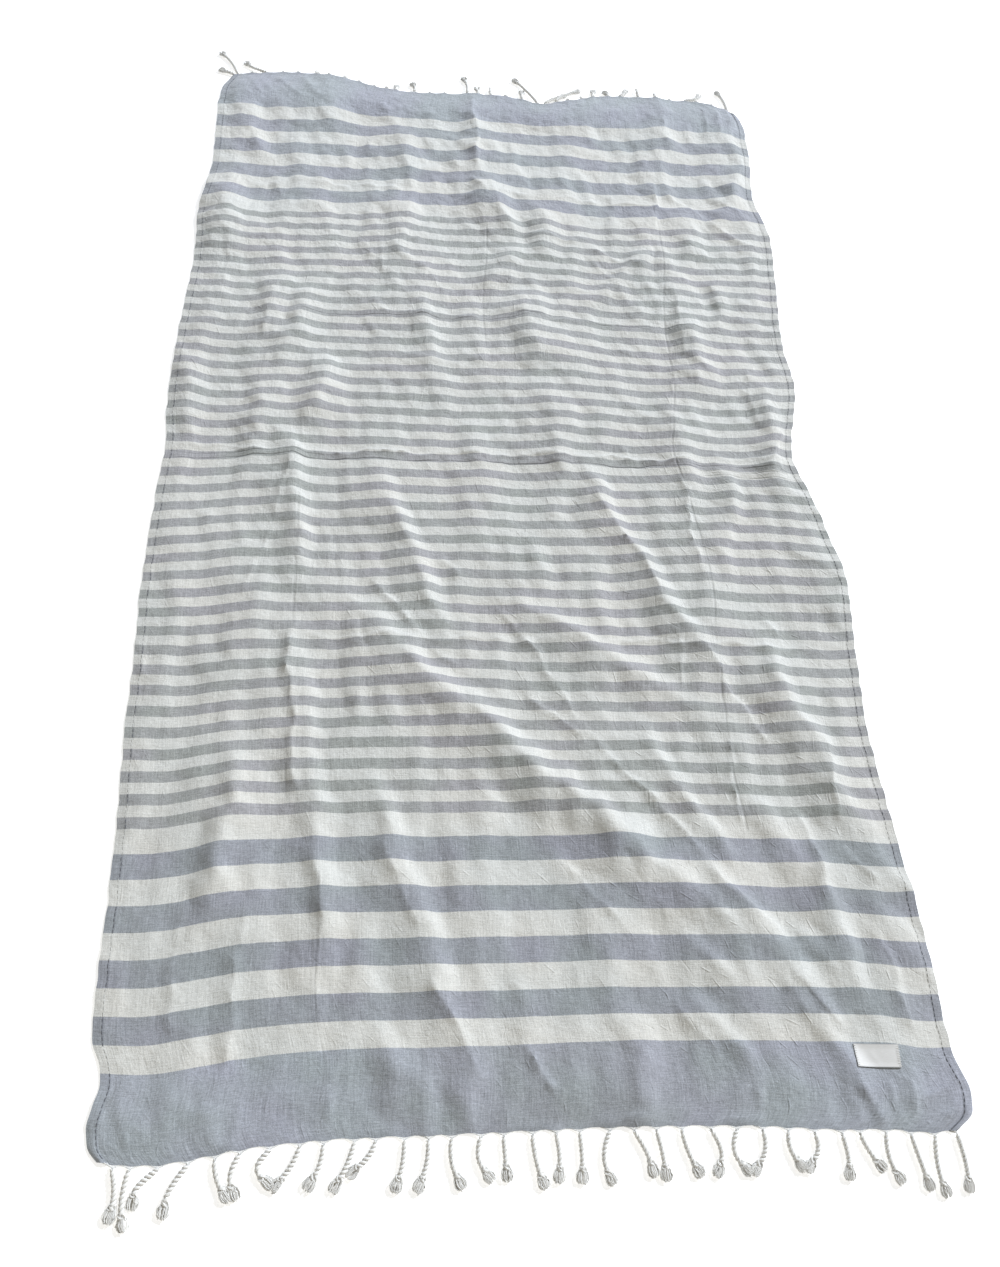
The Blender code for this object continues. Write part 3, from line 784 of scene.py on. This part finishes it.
def pressed_in(graph, across, along, scale, share, reach):
    """Short straight creases: one for each cell of a cell pattern, on a share of the cells."""
    place = graph.vector(across, along)
    cells = graph.node(
        "ShaderNodeTexVoronoi", {"voronoi_dimensions": "2D", "feature": "F1"}, Vector=place, Scale=scale
    )
    middle = Reading(graph, cells.outputs["Position"])
    off = graph.first("ShaderNodeVectorMath", {"operation": "SUBTRACT"}, place, middle)
    off_x, off_y, _ = graph.parts(off)
    turning, keeping, rising = graph.parts(Reading(graph, cells.outputs["Color"]))
    turn = graph.spread(across, 0.0, FLAT_WIDE, TURN_LEFT, TURN_RIGHT)
    turn = (turning - 0.5) * TURN_SPREAD + turn
    cosine = graph.math("COSINE", turn)
    sine = graph.math("SINE", turn)
    along_it = off_x * cosine + off_y * sine
    beside = off_x * sine - off_y * cosine
    peak = graph.spread(abs(beside), 0.0, PRESSED_HALF, 1.0, 0.0)
    end = graph.spread(abs(along_it), 0.4 * reach, reach, 1.0, 0.0)
    height = (rising * 1.6 - 0.6) * graph.math("LESS_THAN", keeping, share)
    return height * (peak * end)


# Fold lines left by storage, drawn as painted shade: where they lie on the flat panel, where they
# start and stop, and how much painted shade they carry. The middle one of those across it parts into
# three near the right-hand edge.
Pressed = namedtuple("Pressed", "place start stop shade")
LINES_ACROSS = (
    Pressed(0.9105, 0.010, 0.830, 0.50),
    Pressed(0.9185, 0.020, 0.260, 0.34),
    Pressed(0.9165, 0.790, 0.960, 0.44),
    Pressed(0.9060, 0.800, 0.975, 0.40),
    Pressed(0.8960, 0.810, 0.980, 0.34),
    Pressed(1.2010, 0.170, 0.560, 0.40),
    Pressed(1.2070, 0.520, 0.860, 0.36),
)
LINES_ALONG = (
    Pressed(0.783, 0.300, 1.520, 0.17),
    Pressed(0.478, 1.130, 1.450, 0.14),
    Pressed(0.2405, 0.060, 0.330, 0.11),
    Pressed(0.200, 0.380, 0.880, 0.10),
)
LINE_CORE = 0.0004  # half the width over which a line is darkest
LINE_END = 0.03  # the length over which it dies away


def pressed_lines(graph, lines, place, run, sway, least, half):
    """How much painted shade the storage lines lay down: place is measured to their side and run along
    them. They sway by up to sway, fade to the least share in places, and die away half wide from
    their middle."""
    waver = graph.noise(graph.vector(run, place), 0.063 / sway)
    place = place + graph.spread(waver, 0.0, 1.0, -sway, sway)
    broken = graph.noise(graph.vector(run, 0.5), 38.0 * least + 14.0)
    broken = graph.spread(broken, 0.36, 0.58, least, 1.0)
    total = 0.0
    for line in lines:
        mark = graph.spread(abs(place - line.place), LINE_CORE, half, line.shade, 0.0)
        begun = graph.spread(run, line.start, line.start + LINE_END, 0.0, 1.0)
        ended = graph.spread(run, line.stop - LINE_END, line.stop, 1.0, 0.0)
        total = graph.higher(total, mark * (begun * ended))
    return total * broken


def cotton_colour(graph, across, along, flat, white, in_middle, band):
    """The stripes' yarns, with their slight changes of tint."""
    blue = graph.blend(in_middle, WIDE_BLUE, NARROW_GREY)
    blue = graph.blend(band, blue, BAND_BLUE)
    # Painted shade: the labelled end's plain band is a little darker and greyer in the middle of
    # the towel's width.
    middle = graph.spread(abs(across - 0.53), 0.08, 0.30, 1.0, 0.0)
    labelled_end = graph.spread(along, 0.11, 0.14, 1.0, 0.0)
    blue = graph.blend(middle * labelled_end * band, blue, SHADED_BAND_BLUE)
    tint = graph.spread(graph.noise(flat, 8.5), 0.38, 0.62, 0.0, 1.0)
    blue = graph.blend(1.0, blue, graph.blend(tint, GREENISH, VIOLET), "MULTIPLY")
    return graph.blend(white, blue, graph.blend(tint, OFF_WHITE, ECRU))


def thread_tone(graph, white, noises):
    """The threads' unevenness, around 1: each noise has its own strength on blue and on white."""
    tone = None
    for value, on_blue, on_white in noises:
        varied = (value - 0.5) * graph.spread(white, 0.0, 1.0, on_blue, on_white) + 1.0
        tone = varied if tone is None else tone * varied
    return tone


def edge_tone(graph, across, along, flat, white):
    """The doubled side hems, painted shade in their seams, and painted shade where the cloth is
    gathered at the ends.
    """
    side = graph.lower(across, FLAT_WIDE - across)
    doubled = graph.spread(side, HEM_WIDE, HEM_WIDE + 0.0008, 0.93, 1.0)
    seam = graph.spread(abs(side - STITCH_IN), 0.0005, 0.0015, 1.0, 0.0)
    end = graph.lower(along, FLAT_LONG - along)
    # Painted shade in the seam: deeper on blue, and where the right-hand corners curl.
    right = graph.math("GREATER_THAN", across, 0.5 * FLAT_WIDE)
    curl_shade = graph.spread(end, 0.004, 0.026, 0.40, 0.0) * right
    seam_shade = seam * (graph.spread(white, 0.0, 1.0, 0.26, 0.03) + curl_shade)
    # Painted shade, in patches, where the cloth is gathered at either end.
    gather_shade = graph.spread(graph.noise(flat, 12.0), 0.42, 0.60, 0.20, 1.0)
    gather_shade = gather_shade * graph.spread(end, 0.0, 0.009, 0.20, 0.0)
    return doubled * (1.0 - seam_shade) * (1.0 - gather_shade)


def cotton_relief(graph, across, along, flat, slubs, stored):
    """The plain weave and its slubs, crumpling, short pressed-in creases and the storage lines."""
    pick = WHOLE_TURN / 0.0009
    weave = graph.math("SINE", across * pick) * graph.math("SINE", along * pick)
    fine = pressed_in(graph, across, along, 50.0, 0.58, 0.0070)
    coarse = pressed_in(graph, across, along, 29.0, 0.52, 0.0120)
    to_right = graph.spread(across, 0.15, 0.75, 0.55, 1.25)
    to_far = graph.spread(along, 0.60, 1.20, 0.0, 1.15)
    creased = (fine + coarse) * graph.higher(to_right, to_far)
    crumpled = graph.spread(along, 0.5, 1.3, 0.0022, 0.0040)
    normal = graph.bump(creased, 0.00045)
    normal = graph.bump(stored, 0.0010, 1.0, normal)
    normal = graph.bump(graph.noise(flat, 42.0, 3.0, 0.55), crumpled, 1.0, normal)
    normal = graph.bump(slubs, 0.0005, 0.7, normal)
    return graph.bump(weave, 0.00012, 0.5, normal)


def striped_cotton():
    """The woven panel. Weft slubs run across it and uneven warps along it; all is finely mottled."""
    graph = Graph("striped_cotton")
    across, along, white, in_middle, band = stripe_shares(graph)
    flat = graph.vector(across, along)

    def threads(scale_across, scale_along, offset=0.0):
        return graph.noise(graph.vector(across * scale_across, along * scale_along, offset), 1.0)

    weft = threads(70.0, 640.0)
    warp = threads(560.0, 45.0, 2.0)
    mottle = graph.noise(flat, 300.0, 3.0, 0.7)
    noises = (
        (weft, 0.55, 0.26),
        (warp, 0.55, 0.26),
        (threads(240.0, 9.0, 3.0), 0.30, 0.16),
        (mottle, 0.64, 0.38),
        (graph.noise(flat, 780.0, 1.0), 0.74, 0.44),
        (graph.noise(flat, 11.0, 3.0, 0.6), 0.16, 0.10),
    )
    line_shade_across = pressed_lines(graph, LINES_ACROSS, along, across, 0.0045, 0.30, 0.0016)
    line_shade_along = pressed_lines(graph, LINES_ALONG, across, along, 0.0070, 0.0, 0.0030)
    tone = thread_tone(graph, white, noises) * edge_tone(graph, across, along, flat, white)
    # Painted shade along the storage lines.
    tone = tone * (1.0 - graph.higher(line_shade_across, line_shade_along))
    colour = cotton_colour(graph, across, along, flat, white, in_middle, band)
    # The faint lines along the panel are pressed in more deeply for their shade than those across it.
    stored = line_shade_along * -4.0 - line_shade_across
    normal = cotton_relief(graph, across, along, flat, weft + warp, stored)
    roughness = graph.spread(mottle, 0.3, 0.7, 0.84, 0.96)
    return graph.finish(graph.dim(colour, tone), roughness, normal, 0.42)


def hem_thread():
    """Sewing thread, near black as painted shade where it sinks into the blue stripes, and pale
    where it blends with the white ones.
    """
    graph = Graph("hem_thread")
    white = stripe_shares(graph)[2]
    fibre = graph.noise(graph.place(), 1800.0, 3.0)
    # Painted shade: near black over the blue stripes, pale over the white.
    colour = graph.blend(white, SUNK_STITCH_SHADE, STITCH_PALE)
    colour = graph.blend(graph.spread(fibre, 0.3, 0.7, 0.0, 0.35), colour, STITCH_PALE)
    return graph.finish(colour, 0.85, graph.bump(fibre, 0.0002), 0.1)


def fringe_yarn():
    """Undyed yarn, fibrous and a little soiled, with painted shade in the grooves of its cords
    and knots and next to the knots in the tufts.
    """
    graph = Graph("fringe_yarn")
    place = graph.place()
    fibre = graph.noise(place, 1400.0, 4.0, 0.7)
    specks = graph.spread(graph.noise(place, 480.0), 0.60, 0.70, 0.0, 0.85)
    soiled = specks * graph.spread(graph.noise(place, 120.0, 3.0, 0.6), 0.48, 0.62, 0.0, 1.0)
    colour = graph.blend(graph.spread(fibre, 0.25, 0.75, 0.0, 0.12), YARN_WHITE, YARN_DARK)
    colour = graph.blend(soiled, colour, YARN_DARK)
    # Painted shade: darker where the vertex numbers say, in grooves and next to the knots.
    colour = graph.dim(colour, graph.spread(graph.value("painted_shade"), 0.30, 0.90, 1.0, 0.52))
    graph.set(Subsurface_Weight=0.35, Subsurface_Radius=(1.0, 1.0, 1.0), Subsurface_Scale=0.002)
    return graph.finish(colour, 0.9, graph.bump(fibre, 0.0005, 0.8), 0.35)


def label_tape():
    """Satin-woven tape, left blank, with a fine darker edging."""
    graph = Graph("label_tape")
    across = graph.value("across")
    along = graph.value("along")
    threads = graph.noise(graph.vector(across * 220.0, along * 1500.0), 1.0)
    colour = graph.blend(graph.spread(threads, 0.3, 0.7, 0.0, 0.50), LABEL_WHITE, LABEL_SHADE)
    off_rim = graph.lower(0.5 * LABEL_SIZE[0] - abs(across), 0.5 * LABEL_SIZE[1] - abs(along))
    colour = graph.blend(graph.spread(off_rim, 0.0004, 0.0012, 0.7, 0.0), colour, LABEL_EDGE)
    return graph.finish(colour, 0.6, graph.bump(threads, 0.00014, 0.6), 0.1)


def pale_floor():
    graph = Graph("pale_floor")
    cloud = graph.noise(graph.place(), 1.5)
    colour = graph.blend(cloud, (0.92, 0.92, 0.92, 1.0), (0.94, 0.94, 0.94, 1.0))
    graph.set(Emission_Color=(1.0, 1.0, 1.0, 1.0), Emission_Strength=0.48)
    return graph.finish(colour, 0.7)


# ---- the woven panel

CELLS_ACROSS = 204
CELLS_ALONG = 380
HEM_LINES = (0.0, 0.003, 0.006, 0.009, 0.0108, 0.0122, 0.0136, 0.016, 0.020)
GATHER = 0.016  # how far from a crease grid lines are drawn in towards it
GATHER_POWER = 1.7
GATHER_SHARE = 0.8
GATHER_FREE = 0.02  # and how far from the edges that begins
GATHER_FADE = 0.2


def lines_across():
    """Distances across the flat panel of the mesh's lines: close together at the stitched hems."""
    inner = CELLS_ACROSS - 2 * len(HEM_LINES) + 3
    last = HEM_LINES[-1]
    middle = np.linspace(last, FLAT_WIDE - last, inner)[1:-1]
    left = np.array(HEM_LINES)
    return np.concatenate([left, middle, (FLAT_WIDE - left)[::-1]])


def gather_lines(x, y, across, along):
    """Draw the mesh in towards every placed crease, so that its sharp edge has points on it."""
    side = from_side(across) - HEM_LINES[-1]
    free = smooth(side / GATHER_FREE) * smooth(from_end(along) / GATHER_FREE)
    for crease in CREASES:
        share, off, axis = place_on(crease, *warped(x, y))
        near = np.clip(np.abs(off) / GATHER, 0.0, 1.0)
        weight = taper(share, GATHER_FADE) * free
        move = np.sign(off) * GATHER * (near ** GATHER_POWER - near) * weight * GATHER_SHARE
        x = x + move * axis.y
        y = y - move * axis.x
        across = across + move * axis.y
        along = along - move * axis.x
    return x, y, across, along


def quads(grid):
    """Faces of four between the neighbours in a grid of point numbers."""
    corners = (grid[:-1, :-1], grid[:-1, 1:], grid[1:, 1:], grid[1:, :-1])
    return np.stack(corners, -1).reshape(-1, 4)


def wall(upper_edge, lower_edge):
    """Triangles between an edge of the top and the edge of the underside, half as fine."""
    faces = []
    for i in range(len(lower_edge) - 1):
        first, middle, last = upper_edge[2 * i:2 * i + 3]
        faces.append((lower_edge[i], middle, first))
        faces.append((lower_edge[i], lower_edge[i + 1], middle))
        faces.append((lower_edge[i + 1], last, middle))
    return faces


def lowest_around(heights):
    """The lowest height among each point and its eight neighbours."""
    padded = np.pad(heights, 1, mode="edge")
    rows, columns = heights.shape
    return np.minimum.reduce([padded[i:i + rows, j:j + columns] for i in range(3) for j in range(3)])


def build_cloth(material):
    across_lines = lines_across()
    along_lines = np.linspace(0.0, FLAT_LONG, CELLS_ALONG + 1)
    x, y = lay_out(across_lines / FLAT_WIDE, along_lines)
    across, along = np.meshgrid(across_lines, along_lines)
    x, y, across, along = gather_lines(x, y, across, along)
    under = lie(x, y, across, along)
    top = under + CLOTH_THICK + hem_rise(across, along)

    # The underside is half as fine, and keeps under the lowest point of the top around it.
    upper = np.stack([x, y, top], -1).reshape(-1, 3)
    lower = np.stack([x, y, lowest_around(under)], -1)[::2, ::2].reshape(-1, 3)
    number = np.arange(under.size).reshape(under.shape)
    low_shape = number[::2, ::2].shape
    low_number = len(upper) + np.arange(len(lower)).reshape(low_shape)
    faces = quads(number).tolist() + quads(low_number)[:, ::-1].tolist()
    for edge in (np.s_[0, :], np.s_[-1, ::-1], np.s_[::-1, 0], np.s_[:, -1]):
        faces += wall(number[edge].tolist(), low_number[edge].tolist())

    obj = add_mesh("towel_cloth", np.concatenate([upper, lower]), faces, material, 60.0)
    for name, values in (("across", across), ("along", along)):
        add_values(obj, name, np.concatenate([values.ravel(), values[::2, ::2].ravel()]))
    return obj


def top_of_cloth(across, along):
    """Points on the cloth's upper face at flat places, given as equally long arrays."""
    x, y = lay_out(across / FLAT_WIDE, along)
    x = np.diagonal(x)
    y = np.diagonal(y)
    return np.stack([x, y, lie(x, y, across, along) + CLOTH_THICK + hem_rise(across, along)], -1)


STITCH_PITCH = 0.0064
STITCH_LONG = 0.0042
STITCH_THICK = 0.00042
STITCH_SIDES = 5
STITCH_PATH = ((-0.5, -0.0003), (-0.3, 0.0001), (0.3, 0.0001), (0.5, -0.0003))  # share of length, rise


def build_stitches(material):
    """Running stitches that hold the two side hems."""
    rng = np.random.default_rng(SEED + 2)
    count = int(FLAT_LONG / STITCH_PITCH) - 2
    yarns = Yarns()
    middles = []
    for side_at in (STITCH_IN, FLAT_WIDE - STITCH_IN):
        middle = (np.arange(count) + 1.0) * STITCH_PITCH + rng.normal(0.0, 0.0002, count)
        across = side_at + rng.normal(0.0, 0.00025, count)
        spots = []
        for share, rise in STITCH_PATH:
            spots.append(top_of_cloth(across, middle + share * STITCH_LONG))
            spots[-1][:, 2] += rise
        for path in np.stack(spots, 1):
            yarns.tube(path, STITCH_THICK, STITCH_SIDES, UP)
        middles.append(middle)
    obj = yarns.build("hem_stitches", material)
    along = np.repeat(np.concatenate(middles), len(STITCH_PATH) * STITCH_SIDES)
    add_values(obj, "along", along)
    add_values(obj, "across", np.full(len(along), STITCH_IN))
    return obj


# ---- the fringes

PLIES = 2  # strands twisted together in each cord
PLY_RADIUS = 0.00200
PLY_OFFSET = 0.00146
TWIST_PITCH = 0.0096
CORD_LIFT = PLY_RADIUS + PLY_OFFSET
NECK_SHARE = 0.70  # a cord's thickness at its neck, growing to the whole over NECK_LONG
NECK_LONG = 0.006
THREAD_RADIUS = 0.00032
THREADS_PER_SIDE = 6
THREAD_GAP = 0.0021
KNOT_WIDE = 0.0033
KNOT_HIGH = 0.0015
KNOT_LONG = 0.0024
KNOT_YARN = 0.00180
KNOT_MIDDLE = 0.0033  # height of its middle over the floor
TUFT_STRANDS = 44
TUFT_LONG = 0.0142
TUFT_WIDE = 0.0069  # half its width where it is widest
TUFT_HIGH = 0.0024
TUFT_MIDDLE = 0.0031  # height of its middle over the floor
TUFT_OUTLINE = ((0.0, 0.25, 0.55, 0.80, 1.0), (0.55, 0.84, 1.0, 0.98, 0.78))
# painted shade along a tuft's strands, from the knot to their tips
TUFT_SHADE = ((0.0, 0.3, 1.0), (0.45, 0.12, 0.02))
TUFT_YARN = ((0.0, 1.0), (0.00080, 0.00056))
LOWEST_STRAND = 0.0007
TUCK_PRESS = 0.66  # how flat the tassels are pressed that lie under the far hem


def hem_spots(x, end):
    """Points on the panel's edge at plan x: end is 0 for the near hem and 1 for the far one."""
    hem = FAR_HEM if end else NEAR_HEM
    u = (np.asarray(x, float) - hem[0].x) / (hem[-1].x - hem[0].x)
    u = np.clip(u, 0.0, 1.0)
    along = np.full(len(u), end * FLAT_LONG)
    spots = top_of_cloth(u * FLAT_WIDE, along)
    spots[:, 2] -= 0.5 * CLOTH_THICK
    return spots


def add_cord(yarns, path, start_turn):
    """Strands twisted round each other along the path."""
    tangent = unit_rows(np.gradient(path, axis=0))
    side = unit_rows(np.cross(tangent, UP))
    up = np.cross(side, tangent)
    steps = np.linalg.norm(np.diff(path, axis=0), axis=1)
    travelled = np.concatenate([[0.0], np.cumsum(steps)])
    turn = start_turn - WHOLE_TURN * travelled / TWIST_PITCH
    grow = NECK_SHARE + (1.0 - NECK_SHARE) * smooth(travelled / NECK_LONG)
    for ply in range(PLIES):
        angle = (turn + WHOLE_TURN * ply / PLIES)[:, None]
        away = side * np.cos(angle) + up * np.sin(angle)
        # groove_shade: painted shade on the side of each ply that faces the other ply
        yarns.tube(path + away * (PLY_OFFSET * grow)[:, None], PLY_RADIUS * grow, 8, away, groove_shade=1.0)


def add_knot(yarns, centre, heading, rng):
    """An overhand knot: a small trefoil of the same cord, drawn tight."""
    t = np.linspace(0.0, WHOLE_TURN, 31)
    side = np.cross(heading, UP)
    spin = any_turn(rng)
    out = (2.0 + np.cos(3.0 * t)) / 3.0
    path = (
        centre[None, :]
        + side[None, :] * (out * np.cos(2.0 * t + spin) * KNOT_WIDE)[:, None]
        + UP[None, :] * (out * np.sin(2.0 * t + spin) * KNOT_HIGH)[:, None]
        + heading[None, :] * (np.sin(3.0 * t) * KNOT_LONG)[:, None]
    )
    # The bit of heading keeps the direction sound where the yarn passes the middle.
    # The knot's inner sides get painted shade too.
    yarns.tube(path, KNOT_YARN, 6, path - centre[None, :] + heading[None, :] * 1e-5, groove_shade=0.9)


def add_tuft(yarns, start, heading, rng):
    """The loose ends below the knot: a rounded bell of strands that closes in again at its end."""
    side = np.cross(heading, UP)
    t = np.linspace(0.0, 1.0, 6)
    width = np.interp(t, *TUFT_OUTLINE)
    for _ in range(TUFT_STRANDS):
        spread = math.sqrt(rng.uniform(0.20, 1.0))
        turn = any_turn(rng)
        out = spread * math.cos(turn) * TUFT_WIDE
        up = spread * math.sin(turn) * TUFT_HIGH
        reach = TUFT_LONG * (1.0 - 0.22 * spread ** 2 + rng.normal(0.0, 0.03))
        sway = rng.normal(0.0, 0.0005) * np.sin(t * rng.uniform(2.0, 4.0) * math.pi)
        height = (1.0 - t) * start[2] + t * TUFT_MIDDLE + up * width
        path = start[None, :] + heading[None, :] * (t * reach)[:, None]
        path = path + side[None, :] * (out * width + sway)[:, None]
        path[:, 2] = np.maximum(height, LOWEST_STRAND)
        # Painted shade, heaviest next to the knot, plus a random tone for each strand.
        shade = np.interp(t, *TUFT_SHADE) + rng.uniform(-0.1, 0.34)
        yarns.tube(path, np.interp(t, *TUFT_YARN), 4, UP, shade=shade)


def add_warps(yarns, root, neck, x, end, rng):
    """The panel's warp threads, drawn together from the hem into the top of one tassel."""
    outward = 1.0 if end else -1.0
    offsets = np.arange(-THREADS_PER_SIDE, THREADS_PER_SIDE + 1) * THREAD_GAP
    inner = root * 0.5 + neck * 0.5
    for spot, offset in zip(hem_spots(x + offsets, end), offsets):
        start = spot - np.array([0.0, outward * 0.0008, 0.0])
        bend = spot + np.array([-0.25 * offset, outward * (0.0006 + 0.03 * abs(offset)), 0.0])
        bend[2] += rng.normal(0.0, 0.0002)
        yarns.tube(bezier((start, bend, inner, neck), 6), THREAD_RADIUS * rng.uniform(0.8, 1.4), 4, UP)


def out_path(root, neck, tassel, outward):
    """Middle line of a tassel that lies out from the hem, from its neck up to its knot."""
    run = np.array([tassel.swing * MM, outward * tassel.reach * MM, 0.0])
    bow = np.array([tassel.bow * MM, 0.0, 0.0])
    knot = root + run * (1.0 - TUFT_LONG / np.linalg.norm(run)) + bow * 0.25
    knot[2] = CORD_LIFT
    first = neck + run * 0.12 + bow * 0.6
    first[2] = max(neck[2], CORD_LIFT)
    second = neck * 0.35 + knot * 0.65 + bow * 1.5
    second[2] = CORD_LIFT
    return bezier((neck, first, second, knot), 46)


def tucked_path(root, neck, tassel, outward):
    """Middle line of a tassel that turns back under the hem: bow is how far out its turn reaches."""
    swing = tassel.swing * MM
    back = outward * tassel.reach * MM
    out = outward * tassel.bow * MM
    top = np.array([neck[0], neck[1], root[2] / TUCK_PRESS])
    turn = root + np.array([0.10 * swing, out * 1.9, 0.0])
    under = root + np.array([0.30 * swing, out * 0.6, 0.0])
    knot = root + np.array([swing, back, 0.0])
    turn[2] = CORD_LIFT * 1.4
    under[2] = knot[2] = CORD_LIFT
    return bezier((top, turn, under, knot), 40)


SHORT_REACH = 30  # a tassel that reaches less far, in mm, has its neck closer to the hem


def build_fringe(name, tassels, end, material):
    rng = np.random.default_rng(SEED + 5 + end)
    outward = 1.0 if end else -1.0
    yarns = Yarns()
    for tassel in tassels:
        x = tassel.root * MM
        root = hem_spots(np.array([x]), end)[0]
        tucked = tassel.reach < 0
        neck = root + np.array([0.0, outward * (0.0015 if tassel.reach < SHORT_REACH else 0.0032), 0.0])
        neck[2] = root[2] if tucked else max(neck[2] * 0.8, CORD_LIFT)
        add_warps(yarns, root, neck, x, end, rng)
        first_piece = len(yarns.points)
        path = (tucked_path if tucked else out_path)(root, neck, tassel, outward)
        add_cord(yarns, path, any_turn(rng))
        heading = path[-1] - path[-4]
        heading[2] = 0.0
        heading /= np.linalg.norm(heading)
        knot = path[-1] + heading * 0.0006
        knot[2] = KNOT_MIDDLE
        add_knot(yarns, knot, heading, rng)
        add_tuft(yarns, knot + heading * 0.0010, heading, rng)
        if tucked:
            yarns.press(first_piece, TUCK_PRESS)
    return yarns.build(name, material)


# ---- the label

LABEL_THICK = 0.0005
LABEL_CELLS = (26, 12)
LABEL_FOLD = 0.004  # its two short ends are turned under,
LABEL_FOLD_RUN = 0.0012  # with a step this long
LABEL_FOLD_SHARE = 0.6  # and this share thicker
LABEL_CURL = 0.0006  # how far its free long edges stand up
LABEL_GAP = 0.0006


def label_point(across, along):
    """Plan x and y of places on the label, measured from its middle."""
    cosine = math.cos(LABEL_TURN)
    sine = math.sin(LABEL_TURN)
    return LABEL_AT[0] + across * cosine - along * sine, LABEL_AT[1] + across * sine + along * cosine


def label_height(x, y):
    """Height of the label's lower face, which follows the cloth under it."""
    return lie(x, y, x - SIDES[2].left, y) + CLOTH_THICK + LABEL_GAP


def build_label(material):
    wide, deep = LABEL_SIZE
    columns, rows = LABEL_CELLS
    across, along = np.meshgrid(
        np.linspace(-0.5 * wide, 0.5 * wide, columns + 1),
        np.linspace(-0.5 * deep, 0.5 * deep, rows + 1),
    )
    x, y = label_point(across, along)
    fold = smooth((np.abs(across) - (0.5 * wide - LABEL_FOLD)) / LABEL_FOLD_RUN)
    curl = LABEL_CURL * smooth((np.abs(along) - 0.30 * deep) / (0.2 * deep))
    under = label_height(x, y) + curl * (1.0 - fold)
    top = under + LABEL_THICK * (1.0 + LABEL_FOLD_SHARE * fold)
    points = np.concatenate([np.stack([x, y, z], -1).reshape(-1, 3) for z in (top, under)])
    number = np.arange(x.size).reshape(x.shape)
    faces = []
    for quad in quads(number).tolist():
        faces.append(quad)
        faces.append([n + x.size for n in quad[::-1]])
    rim = np.concatenate([number[0], number[1:, -1], number[-1, -2::-1], number[-2:0:-1, 0]]).tolist()
    for first, second in zip(rim, rim[1:] + rim[:1]):
        faces.append((first, first + x.size, second + x.size, second))
    obj = add_mesh("sewn_label", points, faces, material, 50.0)
    add_values(obj, "across", np.tile(across.ravel(), 2))
    add_values(obj, "along", np.tile(along.ravel(), 2))
    return obj


LABEL_STITCHES = 9  # at each end
LABEL_STITCH_ACROSS = np.array([-0.0032, -0.0022, -0.0008, 0.0006])
LABEL_STITCH_RISE = np.array([0.0, 0.0003, 0.0003, -0.0008])


def build_label_stitches(material):
    """Small stitches across the label's two short ends."""
    wide, deep = LABEL_SIZE
    yarns = Yarns()
    for side in (-1.0, 1.0):
        for along in np.linspace(-0.42 * deep, 0.42 * deep, LABEL_STITCHES):
            x, y = label_point(side * (0.5 * wide + LABEL_STITCH_ACROSS), along)
            z = label_height(x, y) + LABEL_THICK * 1.7 + LABEL_STITCH_RISE
            yarns.tube(np.stack([x, y, z], -1), 0.0002, 5, UP)
    return yarns.build("label_stitches", material)


# ---- the set

# The photograph's viewpoint: above the labelled end, left of its middle, looking down the length
CAMERA_AT = (-0.1929, -0.0821, 1.2421)
CAMERA_SENSOR = 36.0  # in mm, as is the lens
CAMERA_LENS = 30.307
CAMERA_TURNS = ((-12.954, "Z"), (90.0 - 59.701, "X"), (12.488, "Z"))  # in degrees


def place_camera():
    data = bpy.data.cameras.new("camera")
    data.sensor_width = CAMERA_SENSOR
    data.lens = CAMERA_LENS
    camera = add_object("camera", data)
    placed = Matrix.Translation(Vector(CAMERA_AT) + PLAN_TO_FRAME)
    for degrees, axis in CAMERA_TURNS:
        placed = placed @ Matrix.Rotation(math.radians(degrees), 4, axis)
    camera.matrix_world = placed
    bpy.context.scene.camera = camera


# Daylight from the far right, with a cool fill over the far end and a warm one over the near end
Light = namedtuple("Light", "name spot size power colour aim")
LIGHTS = (
    Light("key", (14.28, 10.34, 11.39), 5.1, 6412.0, (0.93, 0.98, 1.06), (0.0, 0.0, 0.0)),
    Light("far_fill", (0.1, 2.3, 1.9), 1.8, 10.0, (0.80, 0.97, 1.20), (0.0, 0.7, 0.0)),
    Light("near_fill", (-0.6, -2.6, 1.9), 1.8, 10.5, (1.12, 1.00, 0.72), (0.0, -0.7, 0.0)),
)
ROOM_STRENGTH = 0.31


def add_light(row):
    data = bpy.data.lights.new(row.name, "AREA")
    data.shape = "DISK"
    data.size = row.size
    data.energy = row.power
    data.color = row.colour
    light = add_object(row.name, data)
    light.location = row.spot
    light.rotation_euler = (Vector(row.aim) - Vector(row.spot)).to_track_quat("-Z", "Y").to_euler()


def light_room():
    world = bpy.data.worlds.new("soft_room")
    world.use_nodes = True
    background = world.node_tree.nodes["Background"]
    background.inputs["Color"].default_value = (1.0, 1.0, 1.0, 1.0)
    background.inputs["Strength"].default_value = ROOM_STRENGTH
    bpy.context.scene.world = world
    bpy.context.scene.view_settings.view_transform = "Standard"


def lay_floor():
    """A pale floor a little below the towel's underside, so that the two never coincide."""
    bpy.ops.mesh.primitive_plane_add(size=16.0, location=(0.0, 0.0, -0.0004))
    floor = bpy.context.active_object
    floor.name = "floor"
    floor.data.materials.append(pale_floor())


place_camera()
for light_row in LIGHTS:
    add_light(light_row)
light_room()
lay_floor()

cloth = build_cloth(striped_cotton())
stitches = build_stitches(hem_thread())
yarn = fringe_yarn()
near_fringe = build_fringe("near_fringe", NEAR_TASSELS, 0, yarn)
far_fringe = build_fringe("far_fringe", FAR_TASSELS, 1, yarn)
label = build_label(label_tape())
label_stitches = build_label_stitches(yarn)

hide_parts("cloth")
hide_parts("fringe_near")
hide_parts("fringe_far")
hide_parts("label")
for piece, slot in (
    (cloth, "cloth"),
    (stitches, "fringe"),
    (near_fringe, "fringe"),
    (far_fringe, "fringe"),
    (label, "label"),
    (label_stitches, "fringe"),
):
    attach(piece, "root")
